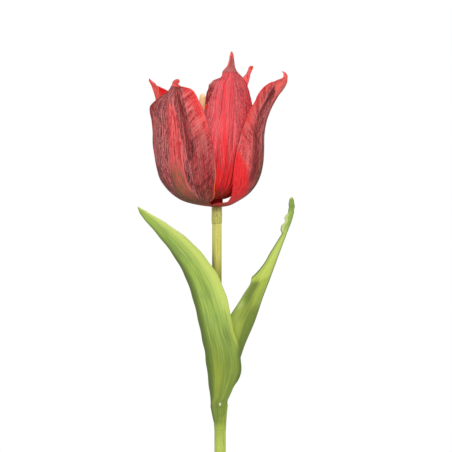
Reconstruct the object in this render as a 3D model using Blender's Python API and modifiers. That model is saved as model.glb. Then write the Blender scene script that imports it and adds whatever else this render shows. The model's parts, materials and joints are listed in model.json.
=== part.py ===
"""An artificial tulip: a wired stem, two leaves on a moulded collar and a flower head of six petals.

Metres, +Z up the stem. The origin is the middle of the stem's cut end. The flower is seen along +Y.
Tables of stations are in millimetres, because they are read off the flower with a ruler.
"""

import math

import bmesh
import bpy
import numpy as np
from mathutils import Vector

MM = 0.001

# Gaps between pieces
TOUCH_GAP = 0.3 * MM
RUNNING_GAP = 0.35 * MM

# Stem
WIRE_RADIUS = 1.1 * MM
LOWER_STEM_RADIUS = 3.0 * MM
LOWER_STEM_LENGTH = 204.5 * MM
UPPER_STEM_RADIUS = 2.5 * MM
UPPER_STEM_LENGTH = 106.2 * MM
STEM_SIDESTEP = -1.7 * MM
STEM_STRAIGHT_FOOT = 15.0 * MM
STEM_SIDESTEP_LENGTH = 43.0 * MM
STEM_BEND_BELOW_HEAD = 28.0 * MM

# Neck and flower core
SLEEVE_RADIUS = 2.75 * MM
SLEEVE_LENGTH = 7.8 * MM
PEG_RADIUS = 1.75 * MM
PEG_LENGTH = 6.0 * MM
WIRE_IN_CORE = 3.0 * MM
CORE_RADIUS = 3.1 * MM
CORE_WAIST_LENGTH = 6.2 * MM
CORE_DISC_RADIUS = 5.7 * MM
CORE_DISC_THICKNESS = 1.8 * MM

# Cup of petals
PETAL_THICKNESS = 0.8 * MM
CUP_RADIUS = 28.9 * MM
CUP_BELLY_HEIGHT = 45.0 * MM
CUP_ROUNDNESS = 4.0
CUP_SIDESTEP = -3.2 * MM
CUP_SIDESTEP_RADIUS = 16.0 * MM
CUP_SLANT = -0.03
INNER_RING_STEP = 2.6 * MM
INNER_RING_LIFT = 4.6 * MM
PETAL_FOOT_LENGTH = 9.0 * MM
PETAL_CELLS_ACROSS = 8
PETAL_CELLS_ALONG = 18

# Pistil and stamens
CENTRE_LEAN = math.radians(1)
PISTIL_RADIUS = 3.0 * MM
PISTIL_LENGTH = 33.0 * MM
STIGMA_RADIUS = 3.6 * MM
STIGMA_HEIGHT = 3.6 * MM
STIGMA_LOBES = 3
STIGMA_SWELL = 0.22
STIGMA_RINGS = 8
STAMEN_COUNT = 6
STAMEN_RING_RADIUS = 4.6 * MM
STAMEN_SPREAD = 3.6 * MM
STAMEN_FIRST_AZIMUTH = math.radians(0)
FILAMENT_RADIUS = 0.65 * MM
FILAMENT_LENGTH = 35.4 * MM
ANTHER_RADIUS = 2.3 * MM
ANTHER_LENGTH = 15.0 * MM
# Turned shapes as shares of the radius and the length: the pistil swells at its middle, an anther is a grain
PISTIL_SHAPE = ((0, 1), (0.8, 1), (1, 0.5), (1, 0.2), (0.85, 0), (0, 0))
ANTHER_SHAPE = ((0, 1), (0.5, 0.95), (0.85, 0.8), (1, 0.45), (0.85, 0.18), (0.45, 0.02), (0, 0))

# Leaves
LEAF_THICKNESS = 0.6 * MM
RIGHT_LEAF_FOOT_RADIUS = UPPER_STEM_RADIUS + RUNNING_GAP + LEAF_THICKNESS + TOUCH_GAP
RIGHT_LEAF_FOLD = 1.7
LEAF_WIRE_RADIUS = 0.45 * MM
COLLAR_HEIGHT = 12.2 * MM
COLLAR_FOOT_RADIUS = 3.3 * MM
COLLAR_RIM_RADIUS = 4.6 * MM
LEFT_LEAF_HINGE_AZIMUTH = math.radians(-25)
LEAF_CELLS_ACROSS = 8
LEAF_CELLS_ALONG = 20

MERGE_DISTANCE = 0.01 * MM
ROUND_SIDES = 24
THIN_SIDES = 12
STEM_LINE_COUNT = 16
LEAF_WIRE_COUNT = 14
THIN_BEVEL_RESOLUTION = 2
STEM_BEVEL_RESOLUTION = 4

# Where the pieces stand on each other
COLLAR_BOTTOM = LOWER_STEM_LENGTH + TOUCH_GAP
COLLAR_TOP = COLLAR_BOTTOM + COLLAR_HEIGHT
LEAF_FOOT = COLLAR_TOP + TOUCH_GAP
UPPER_STEM_TOP = COLLAR_BOTTOM + UPPER_STEM_LENGTH
SLEEVE_BOTTOM = UPPER_STEM_TOP + TOUCH_GAP
SLEEVE_TOP = SLEEVE_BOTTOM + SLEEVE_LENGTH
HEAD_BASE = SLEEVE_TOP + TOUCH_GAP
CORE_HEIGHT = CORE_WAIST_LENGTH + CORE_DISC_THICKNESS

# The joints' axes: a piece that moves hangs on an empty that stands on its axis
STEM_BEND_AXIS = Vector((STEM_SIDESTEP, 0, HEAD_BASE - STEM_BEND_BELOW_HEAD))
HEAD_AXIS = Vector((STEM_SIDESTEP, 0, HEAD_BASE))
LEFT_LEAF_AXIS = Vector((
    COLLAR_RIM_RADIUS * math.sin(LEFT_LEAF_HINGE_AZIMUTH),
    -COLLAR_RIM_RADIUS * math.cos(LEFT_LEAF_HINGE_AZIMUTH),
    LEAF_FOOT,
))
RIGHT_LEAF_AXIS = Vector((RIGHT_LEAF_FOOT_RADIUS, 0, LEAF_FOOT))

# Each petal: azimuth in degrees from the front towards +X and the tip's height. lean: how far the tip leans
# outwards, and from which height. hook: how far the last bit turns back in, and from which height.
# sweep: the midrib's sideways swing in degrees at the tip, and how late it comes. foot: the half angles of
# the petal's foot round the core, towards the left as seen from outside and towards the right.
# widths: rows of height, half width towards the left, half width towards the right.
OUTER_PETALS = {
    "outer_petal_front_left": {
        "azimuth": -42,
        "height": 66,
        "lean": (4, 30),
        "hook": (-9.5, 52),
        "sweep": (2, 2),
        "foot": (52, 35),
        "widths": (
            (0, 4, 2.2),
            (1, 7.7, 5.2),
            (2, 10.6, 6.8),
            (2.6, 12, 9.5),
            (4, 14.6, 13.4),
            (7.3, 19, 17.5),
            (18.2, 24, 23.1),
            (24.2, 24.5, 23.6),
            (33.3, 24.5, 23.2),
            (41, 24.5, 21.5),
            (50.4, 24, 19),
            (52.8, 22.5, 17.6),
            (55.1, 15.6, 16.6),
            (57.2, 10, 15.4),
            (58.8, 7, 14.2),
            (61, 5, 11.4),
            (62.4, 3.8, 5.8),
            (64, 2.2, 3),
            (66, 0.8, 0.8),
        ),
    },
    "outer_petal_right": {
        "azimuth": 70,
        "height": 70.2,
        "lean": (18.8, 34),
        "hook": (-5.4, 65.5),
        "sweep": (0, 4),
        "foot": (72, 52),
        "widths": (
            (0, 4.4, 4),
            (1, 10.6, 7.7),
            (2, 14.4, 10.6),
            (2.7, 9.5, 12.4),
            (3.85, 7.6, 14),
            (6, 11.2, 16),
            (9.4, 15, 18.5),
            (15, 18.6, 21),
            (21.3, 19.8, 22),
            (27, 19.4, 22),
            (36, 17.4, 21),
            (46.3, 15.3, 19),
            (51.6, 14.9, 17.5),
            (57.6, 15.2, 15.5),
            (61.2, 14.4, 12.5),
            (64.2, 11, 8),
            (65.6, 5.5, 5),
            (66.8, 2, 2.8),
            (70.2, 0.8, 0.8),
        ),
    },
    "outer_petal_back": {
        "azimuth": 206,
        "height": 58,
        "lean": (-2, 45),
        "hook": (0, 50),
        "sweep": (0, 2),
        "foot": (52, 52),
        "widths": (
            (0, 3, 4),
            (1, 5.9, 7.4),
            (2, 8.2, 10.2),
            (4, 10.5, 14),
            (6, 13, 16.5),
            (10, 17, 19),
            (20, 21.5, 22),
            (34, 22.5, 22.5),
            (44, 19, 19),
            (50, 13.5, 13.5),
            (54, 6, 6),
            (58, 0.8, 0.8),
        ),
    },
}
INNER_PETALS = {
    "inner_petal_front": {
        "azimuth": 16,
        "height": 80.6,
        "lean": (-3, 45),
        "hook": (0, 75),
        "sweep": (18, 2),
        "foot": (52, 52),
        "widths": (
            (4.6, 3, 3),
            (6, 8.2, 8.2),
            (7, 10.5, 10.5),
            (10, 14, 14),
            (22, 17.5, 17.5),
            (38, 16.5, 18.5),
            (46, 13, 18.5),
            (54, 11.6, 17.2),
            (59, 11.4, 14.2),
            (63, 10.6, 11),
            (66, 7.8, 8.8),
            (69, 5.4, 6),
            (71.2, 3.4, 3.6),
            (75, 1.6, 1.8),
            (80.6, 0.7, 0.7),
        ),
    },
    "inner_petal_back_right": {
        "azimuth": 160,
        "height": 73.3,
        "lean": (2, 48),
        "hook": (0, 70),
        "sweep": (-35, 4),
        "foot": (52, 44),
        "widths": (
            (4.6, 3, 2.6),
            (6, 8.2, 7.2),
            (7, 10.5, 9.4),
            (10, 14, 13.4),
            (22, 17.5, 17.5),
            (38, 18, 18),
            (48, 14, 16),
            (56, 9, 11),
            (62, 4.6, 6),
            (66, 2.2, 2.6),
            (69, 1.1, 1.2),
            (73.3, 0.9, 0.9),
        ),
    },
    "inner_petal_left": {
        "azimuth": -102,
        "height": 66.5,
        "lean": (4.5, 47),
        "hook": (0, 60),
        "sweep": (0, 2),
        "foot": (44, 52),
        "widths": (
            (4.6, 2.6, 3),
            (6, 7.2, 8.2),
            (7, 9.4, 10.5),
            (10, 13.4, 14),
            (22, 17.5, 17.5),
            (36, 17.5, 17.5),
            (47, 15.5, 13),
            (54, 14, 7.5),
            (60, 12, 3.4),
            (61.5, 9, 2.5),
            (63, 4.6, 1.8),
            (66.5, 0.7, 0.7),
        ),
    },
}

# The left leaf, from the collar's rim to the tip. A row is: height above the rim, then the left margin's
# x and y, the right margin's x and y, the right margin's extra height, and how far the middle stands forward.
LEFT_LEAF_ROWS = (
    (4, -4.9, 0.3, 4.4, -4.0, 0.4, 3.2),
    (8, -5.4, 0.1, 7.4, -4.9, 1.4, 3.4),
    (13, -5.9, -0.3, 10.2, -5.6, 2.2, 3.3),
    (18, -6.3, -0.7, 10.7, -5.8, 3.0, 3.2),
    (24, -7.0, -1.6, 9.4, -5.9, 4.6, 3.3),
    (31, -8.2, -2.6, 6.6, -6.0, 7.0, 3.5),
    (47, -12.0, -4.4, 4.1, -6.6, 5.8, 3.8),
    (65, -17.7, -6.4, -5.3, -8.2, 8.0, 3.8),
    (81, -27.1, -8.8, -18.3, -10.6, 6.8, 3.0),
    (94, -38.0, -12.2, -32.3, -13.0, 2.8, 1.3),
    (101.4, -42.9, -14.4, -42.1, -14.6, 0.5, 0.1),
)
# The right leaf is folded along its midrib. A row is: height above the rim, the midrib's x and y, how far
# the margins lie towards the stem from it, and how far they stand apart, front to back, in each half.
RIGHT_LEAF_ROWS = (
    (8, 5.0, 0, 2.9, 3.2),
    (17, 8.2, 0.2, 5.4, 3.8),
    (30.5, 12.7, 0.6, 8.6, 4.6),
    (42, 17.6, 1.0, 11.6, 5.4),
    (56, 22.3, 1.4, 10.4, 5.6),
    (68, 26.7, 1.6, 6.4, 5.0),
    (81, 32.2, 1.6, 4.4, 3.8),
    (93, 36.8, 1.4, 2.8, 2.2),
    (100.5, 38.2, 1.2, 1.9, 1.4),
    (107, 38.0, 1.0, 0.5, 0.5),
)
RIGHT_LEAF_FOOT_HALF_ANGLE = math.radians(42)
LEFT_LEAF_FOOT_EDGES = (math.radians(-95), math.radians(42))
LEAF_WIRE_SPAN = (0.06, 0.72)
SLOPE_STEP = 0.01


def smooth_read(position, stations, values):
    """The value at a position, on a smooth curve through the stations that never overshoots them."""
    stations = np.asarray(stations, float)
    values = np.asarray(values, float)
    slopes = np.diff(values) / np.diff(stations)
    tangents = np.zeros(len(values))
    rising = slopes[:-1] * slopes[1:] > 0
    tangents[1:-1][rising] = 2 * slopes[:-1][rising] * slopes[1:][rising] / (slopes[:-1] + slopes[1:])[rising]
    tangents[0], tangents[-1] = slopes[0], slopes[-1]
    position = min(max(position, stations[0]), stations[-1])
    cell = min(int(np.searchsorted(stations, position, side="right")) - 1, len(slopes) - 1)
    length = stations[cell + 1] - stations[cell]
    share = (position - stations[cell]) / length
    ends = values[cell] * (1 - share) ** 2 * (1 + 2 * share) + values[cell + 1] * share**2 * (3 - 2 * share)
    leans = tangents[cell] * share * (1 - share) ** 2 - tangents[cell + 1] * share**2 * (1 - share)
    return float(ends + length * leans)


def smooth_step(share):
    share = min(max(share, 0.0), 1.0)
    return share * share * (3 - 2 * share)


def clear_scene():
    for obj in list(bpy.data.objects):
        bpy.data.objects.remove(obj, do_unlink=True)


def principled(name, colour, roughness, metallic=0.0):
    material = bpy.data.materials.new(name)
    material.use_nodes = True
    shader = material.node_tree.nodes["Principled BSDF"]
    shader.inputs["Base Color"].default_value = (*colour, 1)
    shader.inputs["Roughness"].default_value = roughness
    shader.inputs["Metallic"].default_value = metallic
    return material


def add_object(name, data, material):
    obj = bpy.data.objects.new(name, data)
    data.materials.append(material)
    PARTS.objects.link(obj)
    return obj


def turned(name, profile, material, sides=ROUND_SIDES):
    """A turned piece. The profile is (radius, height) pairs down its outer side, top to bottom."""
    mesh = bpy.data.meshes.new(name)
    form = bmesh.new()
    points = [form.verts.new((radius, 0, height)) for radius, height in profile]
    for upper, lower in zip(points, points[1:]):
        form.edges.new((upper, lower))
    form.to_mesh(mesh)
    form.free()
    obj = add_object(name, mesh, material)
    screw = obj.modifiers.new("Turn", "SCREW")
    screw.steps = sides
    screw.render_steps = sides
    screw.use_merge_vertices = True
    screw.merge_threshold = MERGE_DISTANCE
    screw.use_smooth_shade = True
    return obj


def closed_ring(profile):
    """A turned profile that ends where it starts, for a piece with a bore."""
    return (*profile, profile[0])


def wire(name, points, radius, material, resolution=THIN_BEVEL_RESOLUTION):
    """A round wire along the points, with closed ends."""
    curve = bpy.data.curves.new(name, "CURVE")
    curve.dimensions = "3D"
    curve.bevel_depth = radius
    curve.bevel_resolution = resolution
    curve.use_fill_caps = True
    line = curve.splines.new("POLY")
    line.points.add(len(points) - 1)
    for target, point in zip(line.points, points):
        target.co = (*point, 1)
    return add_object(name, curve, material)


def hollow_tube(name, points, outer_radius, bore_radius, material):
    """A tube along the points: the open skin of a round wire, made solid inwards down to its bore."""
    skin = wire(name + "_skin", points, outer_radius, material, STEM_BEVEL_RESOLUTION)
    skin.data.use_fill_caps = False
    bpy.context.view_layer.update()
    evaluated = skin.evaluated_get(bpy.context.evaluated_depsgraph_get())
    mesh = bpy.data.meshes.new_from_object(evaluated)
    mesh.name = name
    bpy.data.objects.remove(skin, do_unlink=True)
    obj = bpy.data.objects.new(name, mesh)
    PARTS.objects.link(obj)
    thicken(obj, outer_radius - bore_radius)
    mesh.shade_smooth()
    return obj


def thicken(obj, thickness):
    """Gives an open surface a wall on the side that its faces turn away from."""
    wall = obj.modifiers.new("Wall", "SOLIDIFY")
    wall.thickness = thickness
    wall.offset = -1
    wall.use_even_offset = True
    wall.use_quality_normals = True


def surface(name, place, across, along, material):
    """An open surface: place(u, s) gives its point, u from foot to tip and s from -1 to 1 across."""
    form = bmesh.new()
    bmesh.ops.create_grid(form, x_segments=across, y_segments=along, size=1)
    for point in form.verts:
        point.co = place((point.co.y + 1) / 2, point.co.x)
    mesh = bpy.data.meshes.new(name)
    form.to_mesh(mesh)
    form.free()
    mesh.shade_smooth()
    return add_object(name, mesh, material)


def stem_line(bottom, top, steps):
    """Points on the upper stem's middle line: straight out of the collar, then a gentle step to the side."""
    points = []
    for height in np.linspace(bottom, top, steps):
        share = (height - COLLAR_BOTTOM - STEM_STRAIGHT_FOOT) / STEM_SIDESTEP_LENGTH
        points.append(Vector((STEM_SIDESTEP * smooth_step(share), 0, height)))
    return points


def cup_radius(height, ring_step, ring_lift):
    """The cup's radius at a height above the head's base: a full, flat-bottomed bowl."""
    share = (height - ring_lift) / (CUP_BELLY_HEIGHT - ring_lift)
    share = min(max(share, 0.0), 1.0)
    return (CUP_RADIUS - ring_step) * math.sqrt(1 - (1 - share) ** CUP_ROUNDNESS)


def foot_height(radius, ring_step, ring_lift):
    """The height at which the cup has this radius."""
    share = 1 - (1 - (radius / (CUP_RADIUS - ring_step)) ** 2) ** (1 / CUP_ROUNDNESS)
    return ring_lift + share * (CUP_BELLY_HEIGHT - ring_lift)


def petal_point(petal, ring_step, ring_lift):
    """Returns place(u, s) for one petal of the ring, in the head's own frame."""
    tip = petal["height"] * MM
    lean, lean_start = (value * MM for value in petal["lean"])
    hook, hook_start = (value * MM for value in petal["hook"])
    sweep, lateness = petal["sweep"]
    heights, lefts, rights = (np.array(column) * MM for column in zip(*petal["widths"]))
    foot_angles = [math.radians(angle) for angle in petal["foot"]]
    foot = foot_height(CORE_RADIUS + TOUCH_GAP, ring_step, ring_lift)

    def place(u, s):
        height = foot + (tip - foot) * (1 - math.cos(math.pi * u)) / 2
        bowl_radius = cup_radius(height, ring_step, ring_lift)
        off_core = (bowl_radius - CORE_RADIUS) / (CUP_SIDESTEP_RADIUS - CORE_RADIUS)
        sidestep = CUP_SIDESTEP * smooth_step(off_core)
        radius = bowl_radius + lean * (max(height - lean_start, 0) / (tip - lean_start)) ** 2
        radius += hook * (max(height - hook_start, 0) / (tip - hook_start)) ** 2
        side = 0 if s < 0 else 1
        half = smooth_read(height, heights, (lefts, rights)[side])
        off_foot = smooth_step((bowl_radius - CORE_RADIUS) / PETAL_FOOT_LENGTH)
        half_angle = foot_angles[side] * (1 - off_foot) + half / radius * off_foot
        azimuth = math.radians(petal["azimuth"] + sweep * (height / tip) ** lateness) + s * half_angle
        return Vector((
            sidestep + CUP_SLANT * (height - foot) + radius * math.sin(azimuth),
            -radius * math.cos(azimuth),
            height,
        ))

    return place


def left_leaf_point(u, s):
    """The left leaf's outer face: an arc across, from the left margin round the front to the right one.

    Places of both leaves are in the stem's frame, with heights above the leaves' feet.
    """
    rows = np.array(LEFT_LEAF_ROWS) * MM
    start, end = LEFT_LEAF_FOOT_EDGES
    foot = (
        0,
        COLLAR_RIM_RADIUS * math.sin(start),
        -COLLAR_RIM_RADIUS * math.cos(start),
        COLLAR_RIM_RADIUS * math.sin(end),
        -COLLAR_RIM_RADIUS * math.cos(end),
        0,
        COLLAR_RIM_RADIUS * (1 - math.cos((end - start) / 2)),
    )
    columns = np.vstack([foot, rows]).T
    stations = columns[0]
    position = stations[-1] * u
    left_x, left_y, right_x, right_y, extra, forward = (
        smooth_read(position, stations, column) for column in columns[1:]
    )
    swing = math.sin(s * math.pi / 2)
    crown = math.cos(s * math.pi / 2)
    facing = (start + end) / 2 * (1 - smooth_step(position / rows[1][0]))
    return Vector((
        (left_x + right_x) / 2 + (right_x - left_x) / 2 * swing + forward * crown * math.sin(facing),
        (left_y + right_y) / 2 + (right_y - left_y) / 2 * swing - forward * crown * math.cos(facing),
        position + extra * (swing + 1) / 2,
    ))


def right_leaf_point(u, s):
    """The right leaf's outer face: folded along its midrib, with both margins towards the stem."""
    rows = np.array(RIGHT_LEAF_ROWS) * MM
    foot = (
        0,
        RIGHT_LEAF_FOOT_RADIUS,
        0,
        RIGHT_LEAF_FOOT_RADIUS * (1 - math.cos(RIGHT_LEAF_FOOT_HALF_ANGLE)),
        RIGHT_LEAF_FOOT_RADIUS * math.sin(RIGHT_LEAF_FOOT_HALF_ANGLE),
    )
    columns = np.vstack([foot, rows]).T
    stations = columns[0]
    position = stations[-1] * u
    rib_x, rib_y, back, apart = (smooth_read(position, stations, column) for column in columns[1:])
    return Vector((
        rib_x - back * abs(s) ** RIGHT_LEAF_FOLD,
        rib_y + apart * math.sin(s * math.pi / 2),
        position,
    ))


def wire_points(place, span):
    """Points along a leaf's midrib, inside the leaf by its wall, a gap and the wire's own radius."""
    inside = LEAF_THICKNESS + TOUCH_GAP + LEAF_WIRE_RADIUS
    points = []
    for u in np.linspace(*span, LEAF_WIRE_COUNT):
        along = place(u + SLOPE_STEP, 0) - place(u - SLOPE_STEP, 0)
        across = place(u, SLOPE_STEP) - place(u, -SLOPE_STEP)
        points.append(place(u, 0) - across.cross(along).normalized() * inside)
    return points


def axis_empty(name, place, parent=None):
    """An empty on a joint's axis. Its place is given in its parent's frame."""
    empty = bpy.data.objects.new(name, None)
    empty.location = place
    empty.parent = parent
    PARTS.objects.link(empty)
    return empty


def make_stem():
    """The green sleeves over the wire: the lower one, and the thinner upper one that bends with it."""
    green = principled("lower_stem_cover", (0.45, 0.52, 0.10), 0.45)
    olive = principled("upper_stem_cover", (0.50, 0.50, 0.13), 0.45)
    steel = principled("stem_wire", (0.55, 0.55, 0.56), 0.35, 1.0)
    bore = WIRE_RADIUS + TOUCH_GAP
    turned(
        "lower_stem_cover",
        closed_ring((
            (bore, LOWER_STEM_LENGTH),
            (LOWER_STEM_RADIUS, LOWER_STEM_LENGTH),
            (LOWER_STEM_RADIUS, 0),
            (bore, 0),
        )),
        green,
    )
    upper_line = stem_line(COLLAR_BOTTOM, UPPER_STEM_TOP, STEM_LINE_COUNT)
    hollow_tube("upper_stem_cover", upper_line, UPPER_STEM_RADIUS, bore, olive)
    wire_line = [Vector((0, 0, 0)), *stem_line(COLLAR_BOTTOM, HEAD_BASE + WIRE_IN_CORE, STEM_LINE_COUNT)]
    wire("stem_wire", wire_line, WIRE_RADIUS, steel)


def make_neck(neck_axis):
    clear_green = principled("neck_sleeve", (0.55, 0.52, 0.28), 0.3)
    bore = PEG_RADIUS + RUNNING_GAP
    sleeve = turned(
        "neck_sleeve",
        closed_ring((
            (bore, SLEEVE_LENGTH),
            (SLEEVE_RADIUS, SLEEVE_LENGTH),
            (SLEEVE_RADIUS, 0),
            (bore, 0),
        )),
        clear_green,
    )
    sleeve.location.z = SLEEVE_BOTTOM - STEM_BEND_AXIS.z
    sleeve.parent = neck_axis


def make_core(head_axis):
    """The moulded core: a peg that goes down the sleeve, a waist that holds the petals, and a disc on top."""
    dark_red = principled("flower_core", (0.30, 0.03, 0.03), 0.5)
    bore = WIRE_RADIUS + RUNNING_GAP
    bore_top = WIRE_IN_CORE + TOUCH_GAP
    core = turned(
        "flower_core",
        (
            (0, CORE_HEIGHT),
            (CORE_DISC_RADIUS, CORE_HEIGHT),
            (CORE_DISC_RADIUS, CORE_WAIST_LENGTH + CORE_DISC_THICKNESS / 2),
            (CORE_RADIUS, CORE_WAIST_LENGTH),
            (CORE_RADIUS, 0),
            (PEG_RADIUS, 0),
            (PEG_RADIUS, -PEG_LENGTH),
            (bore, -PEG_LENGTH),
            (bore, bore_top),
            (0, bore_top),
        ),
        dark_red,
    )
    core.parent = head_axis


def make_petals(head_axis):
    outer_red = principled("outer_petals", (0.42, 0.06, 0.07), 0.6)
    inner_red = principled("inner_petals", (0.62, 0.05, 0.06), 0.6)
    rings = (
        (OUTER_PETALS, outer_red, 0.0, 0.0),
        (INNER_PETALS, inner_red, INNER_RING_STEP, INNER_RING_LIFT),
    )
    for petals, red, ring_step, ring_lift in rings:
        for name, petal in petals.items():
            place = petal_point(petal, ring_step, ring_lift)
            obj = surface(name, place, PETAL_CELLS_ACROSS, PETAL_CELLS_ALONG, red)
            thicken(obj, PETAL_THICKNESS)
            obj.parent = head_axis


def make_centre(head_axis):
    """The pistil and the stamens stand on the core's disc and lean together towards the cup's middle."""
    green = principled("pistil", (0.42, 0.48, 0.16), 0.55)
    cream = principled("stigma", (0.75, 0.62, 0.30), 0.6)
    pale = principled("filaments", (0.66, 0.62, 0.34), 0.55)
    yellow = principled("anthers", (0.85, 0.62, 0.32), 0.7)
    holder = axis_empty("centre_tilt", (0, 0, CORE_HEIGHT), head_axis)
    holder.rotation_euler = (0, CENTRE_LEAN, 0)
    lift = TOUCH_GAP + STAMEN_RING_RADIUS * math.sin(abs(CENTRE_LEAN))

    pistil = turned(
        "pistil",
        [(radius * PISTIL_RADIUS, height * PISTIL_LENGTH) for radius, height in PISTIL_SHAPE],
        green,
    )
    pistil.location.z = lift
    pistil.parent = holder

    lobes = bmesh.new()
    bmesh.ops.create_uvsphere(lobes, u_segments=ROUND_SIDES, v_segments=STIGMA_RINGS, radius=1)
    for point in lobes.verts:
        swell = 1 + STIGMA_SWELL * math.cos(STIGMA_LOBES * math.atan2(point.co.y, point.co.x))
        point.co.x *= swell * STIGMA_RADIUS
        point.co.y *= swell * STIGMA_RADIUS
        point.co.z *= STIGMA_HEIGHT / 2
    mesh = bpy.data.meshes.new("stigma")
    lobes.to_mesh(mesh)
    lobes.free()
    mesh.shade_smooth()
    stigma = add_object("stigma", mesh, cream)
    stigma.location.z = lift + PISTIL_LENGTH + TOUCH_GAP + STIGMA_HEIGHT / 2
    stigma.parent = holder

    for index in range(STAMEN_COUNT):
        azimuth = STAMEN_FIRST_AZIMUTH + index * 2 * math.pi / STAMEN_COUNT
        outwards = Vector((math.sin(azimuth), -math.cos(azimuth), 0))
        foot = outwards * STAMEN_RING_RADIUS + Vector((0, 0, lift))
        top = outwards * (STAMEN_RING_RADIUS + STAMEN_SPREAD) + Vector((0, 0, lift + FILAMENT_LENGTH))
        filament = wire(f"filament_{index + 1}", [foot, top], FILAMENT_RADIUS, pale)
        filament.parent = holder
        direction = (top - foot).normalized()
        anther = turned(
            f"anther_{index + 1}",
            [(radius * ANTHER_RADIUS, height * ANTHER_LENGTH) for radius, height in ANTHER_SHAPE],
            yellow,
            THIN_SIDES,
        )
        anther.location = top + direction * TOUCH_GAP
        anther.rotation_mode = "QUATERNION"
        anther.rotation_quaternion = direction.to_track_quat("Z", "Y")
        anther.parent = holder


def make_leaves():
    """The collar that both leaves grow from, and each leaf with the coated wire behind its midrib."""
    green = principled("leaves", (0.24, 0.42, 0.08), 0.5)
    coated = principled("leaf_wires", (0.20, 0.34, 0.08), 0.45)
    bore = UPPER_STEM_RADIUS + TOUCH_GAP
    collar = turned(
        "leaf_collar",
        closed_ring((
            (bore, COLLAR_HEIGHT),
            (COLLAR_RIM_RADIUS, COLLAR_HEIGHT),
            (COLLAR_FOOT_RADIUS, 0),
            (bore, 0),
        )),
        green,
    )
    collar.location.z = COLLAR_BOTTOM
    leaves = (
        ("left_leaf", left_leaf_point, LEFT_LEAF_AXIS),
        ("right_leaf", right_leaf_point, RIGHT_LEAF_AXIS),
    )
    for name, place, axis in leaves:
        hinge = axis_empty(name + "_axis", axis)
        leaf = surface(name, place, LEAF_CELLS_ACROSS, LEAF_CELLS_ALONG, green)
        thicken(leaf, LEAF_THICKNESS)
        rib = wire(name + "_wire", wire_points(place, LEAF_WIRE_SPAN), LEAF_WIRE_RADIUS, coated)
        for piece in (leaf, rib):
            piece.location = (-axis.x, -axis.y, 0)
            piece.parent = hinge


clear_scene()
PARTS = bpy.data.collections.new("artificial_tulip")
bpy.context.scene.collection.children.link(PARTS)
make_stem()
STEM_BEND = axis_empty("stem_bend_axis", STEM_BEND_AXIS)
HEAD_TURN = axis_empty("head_turn_axis", HEAD_AXIS - STEM_BEND_AXIS, STEM_BEND)
make_neck(STEM_BEND)
make_core(HEAD_TURN)
make_petals(HEAD_TURN)
make_centre(HEAD_TURN)
make_leaves()
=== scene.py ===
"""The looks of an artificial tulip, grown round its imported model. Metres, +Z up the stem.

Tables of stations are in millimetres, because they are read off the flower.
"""

import json
import math

import bmesh
import bpy
import numpy as np
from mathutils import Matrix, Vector


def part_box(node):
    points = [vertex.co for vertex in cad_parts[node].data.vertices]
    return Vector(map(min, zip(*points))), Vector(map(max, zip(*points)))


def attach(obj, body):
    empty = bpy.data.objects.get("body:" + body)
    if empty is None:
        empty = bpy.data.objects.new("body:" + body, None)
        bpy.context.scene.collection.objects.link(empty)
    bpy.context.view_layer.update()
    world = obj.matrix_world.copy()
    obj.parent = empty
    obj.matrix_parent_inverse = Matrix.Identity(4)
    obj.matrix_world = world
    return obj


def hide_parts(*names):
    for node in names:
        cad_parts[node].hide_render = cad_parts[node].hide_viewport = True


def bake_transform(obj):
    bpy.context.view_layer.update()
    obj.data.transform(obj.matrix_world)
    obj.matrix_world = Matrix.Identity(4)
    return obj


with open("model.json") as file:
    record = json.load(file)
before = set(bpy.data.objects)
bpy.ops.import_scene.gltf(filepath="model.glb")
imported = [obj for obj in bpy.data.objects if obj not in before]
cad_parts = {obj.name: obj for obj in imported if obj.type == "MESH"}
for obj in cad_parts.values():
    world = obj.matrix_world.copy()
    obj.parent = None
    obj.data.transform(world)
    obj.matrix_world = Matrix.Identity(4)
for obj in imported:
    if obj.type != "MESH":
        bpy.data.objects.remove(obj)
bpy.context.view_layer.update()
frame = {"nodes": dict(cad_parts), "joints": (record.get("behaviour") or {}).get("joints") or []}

# The lower stem: a moulded plastic tube over the steel wire, in a soft light green with fine fibres
# along it. It is pushed up the wire until it meets the collar of the leaves.
MM = 0.001
SAME_POINT = 0.01 * MM
LOWER_STEM_RIDGE = 0.05 * MM
LOWER_STEM_RIDGES = 9
LOWER_STEM_RELIEF = 0.12 * MM
LOWER_STEM_CELLS = 120
STEM_CELLS_AROUND = 96
STEM_BORE = 1.4 * MM
LIGHT_GREEN = (188, 201, 92)
MID_GREEN = (160, 178, 70)
DEEP_GREEN = (120, 138, 52)


def srgb(red, green, blue):
    """A colour as a paint chart gives it, from 0 to 255, turned to the linear light that shaders use."""
    shares = [value / 255 for value in (red, green, blue)]
    linear = [s / 12.92 if s <= 0.04045 else ((s + 0.055) / 1.055) ** 2.4 for s in shares]
    return (*linear, 1)


class Field:
    """A number or a colour that varies over a surface. Sums on numbers add the Math nodes for them."""

    def __init__(self, home, socket):
        self.home, self.socket = home, socket

    def __add__(self, other):
        return self.home.math("ADD", self, other)

    def __sub__(self, other):
        return self.home.math("SUBTRACT", self, other)

    def __rsub__(self, other):
        return self.home.math("SUBTRACT", other, self)

    def __mul__(self, other):
        return self.home.math("MULTIPLY", self, other)

    def __abs__(self):
        return self.home.math("ABSOLUTE", self)

    __radd__ = __add__

    def rise(self, low, high):
        """0 below low, 1 above high and smooth between. With low above high it falls instead."""
        span = {"Value": self, "From Min": low, "From Max": high}
        return self.home.node("ShaderNodeMapRange", {"interpolation_type": "SMOOTHSTEP"}, span)


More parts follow.
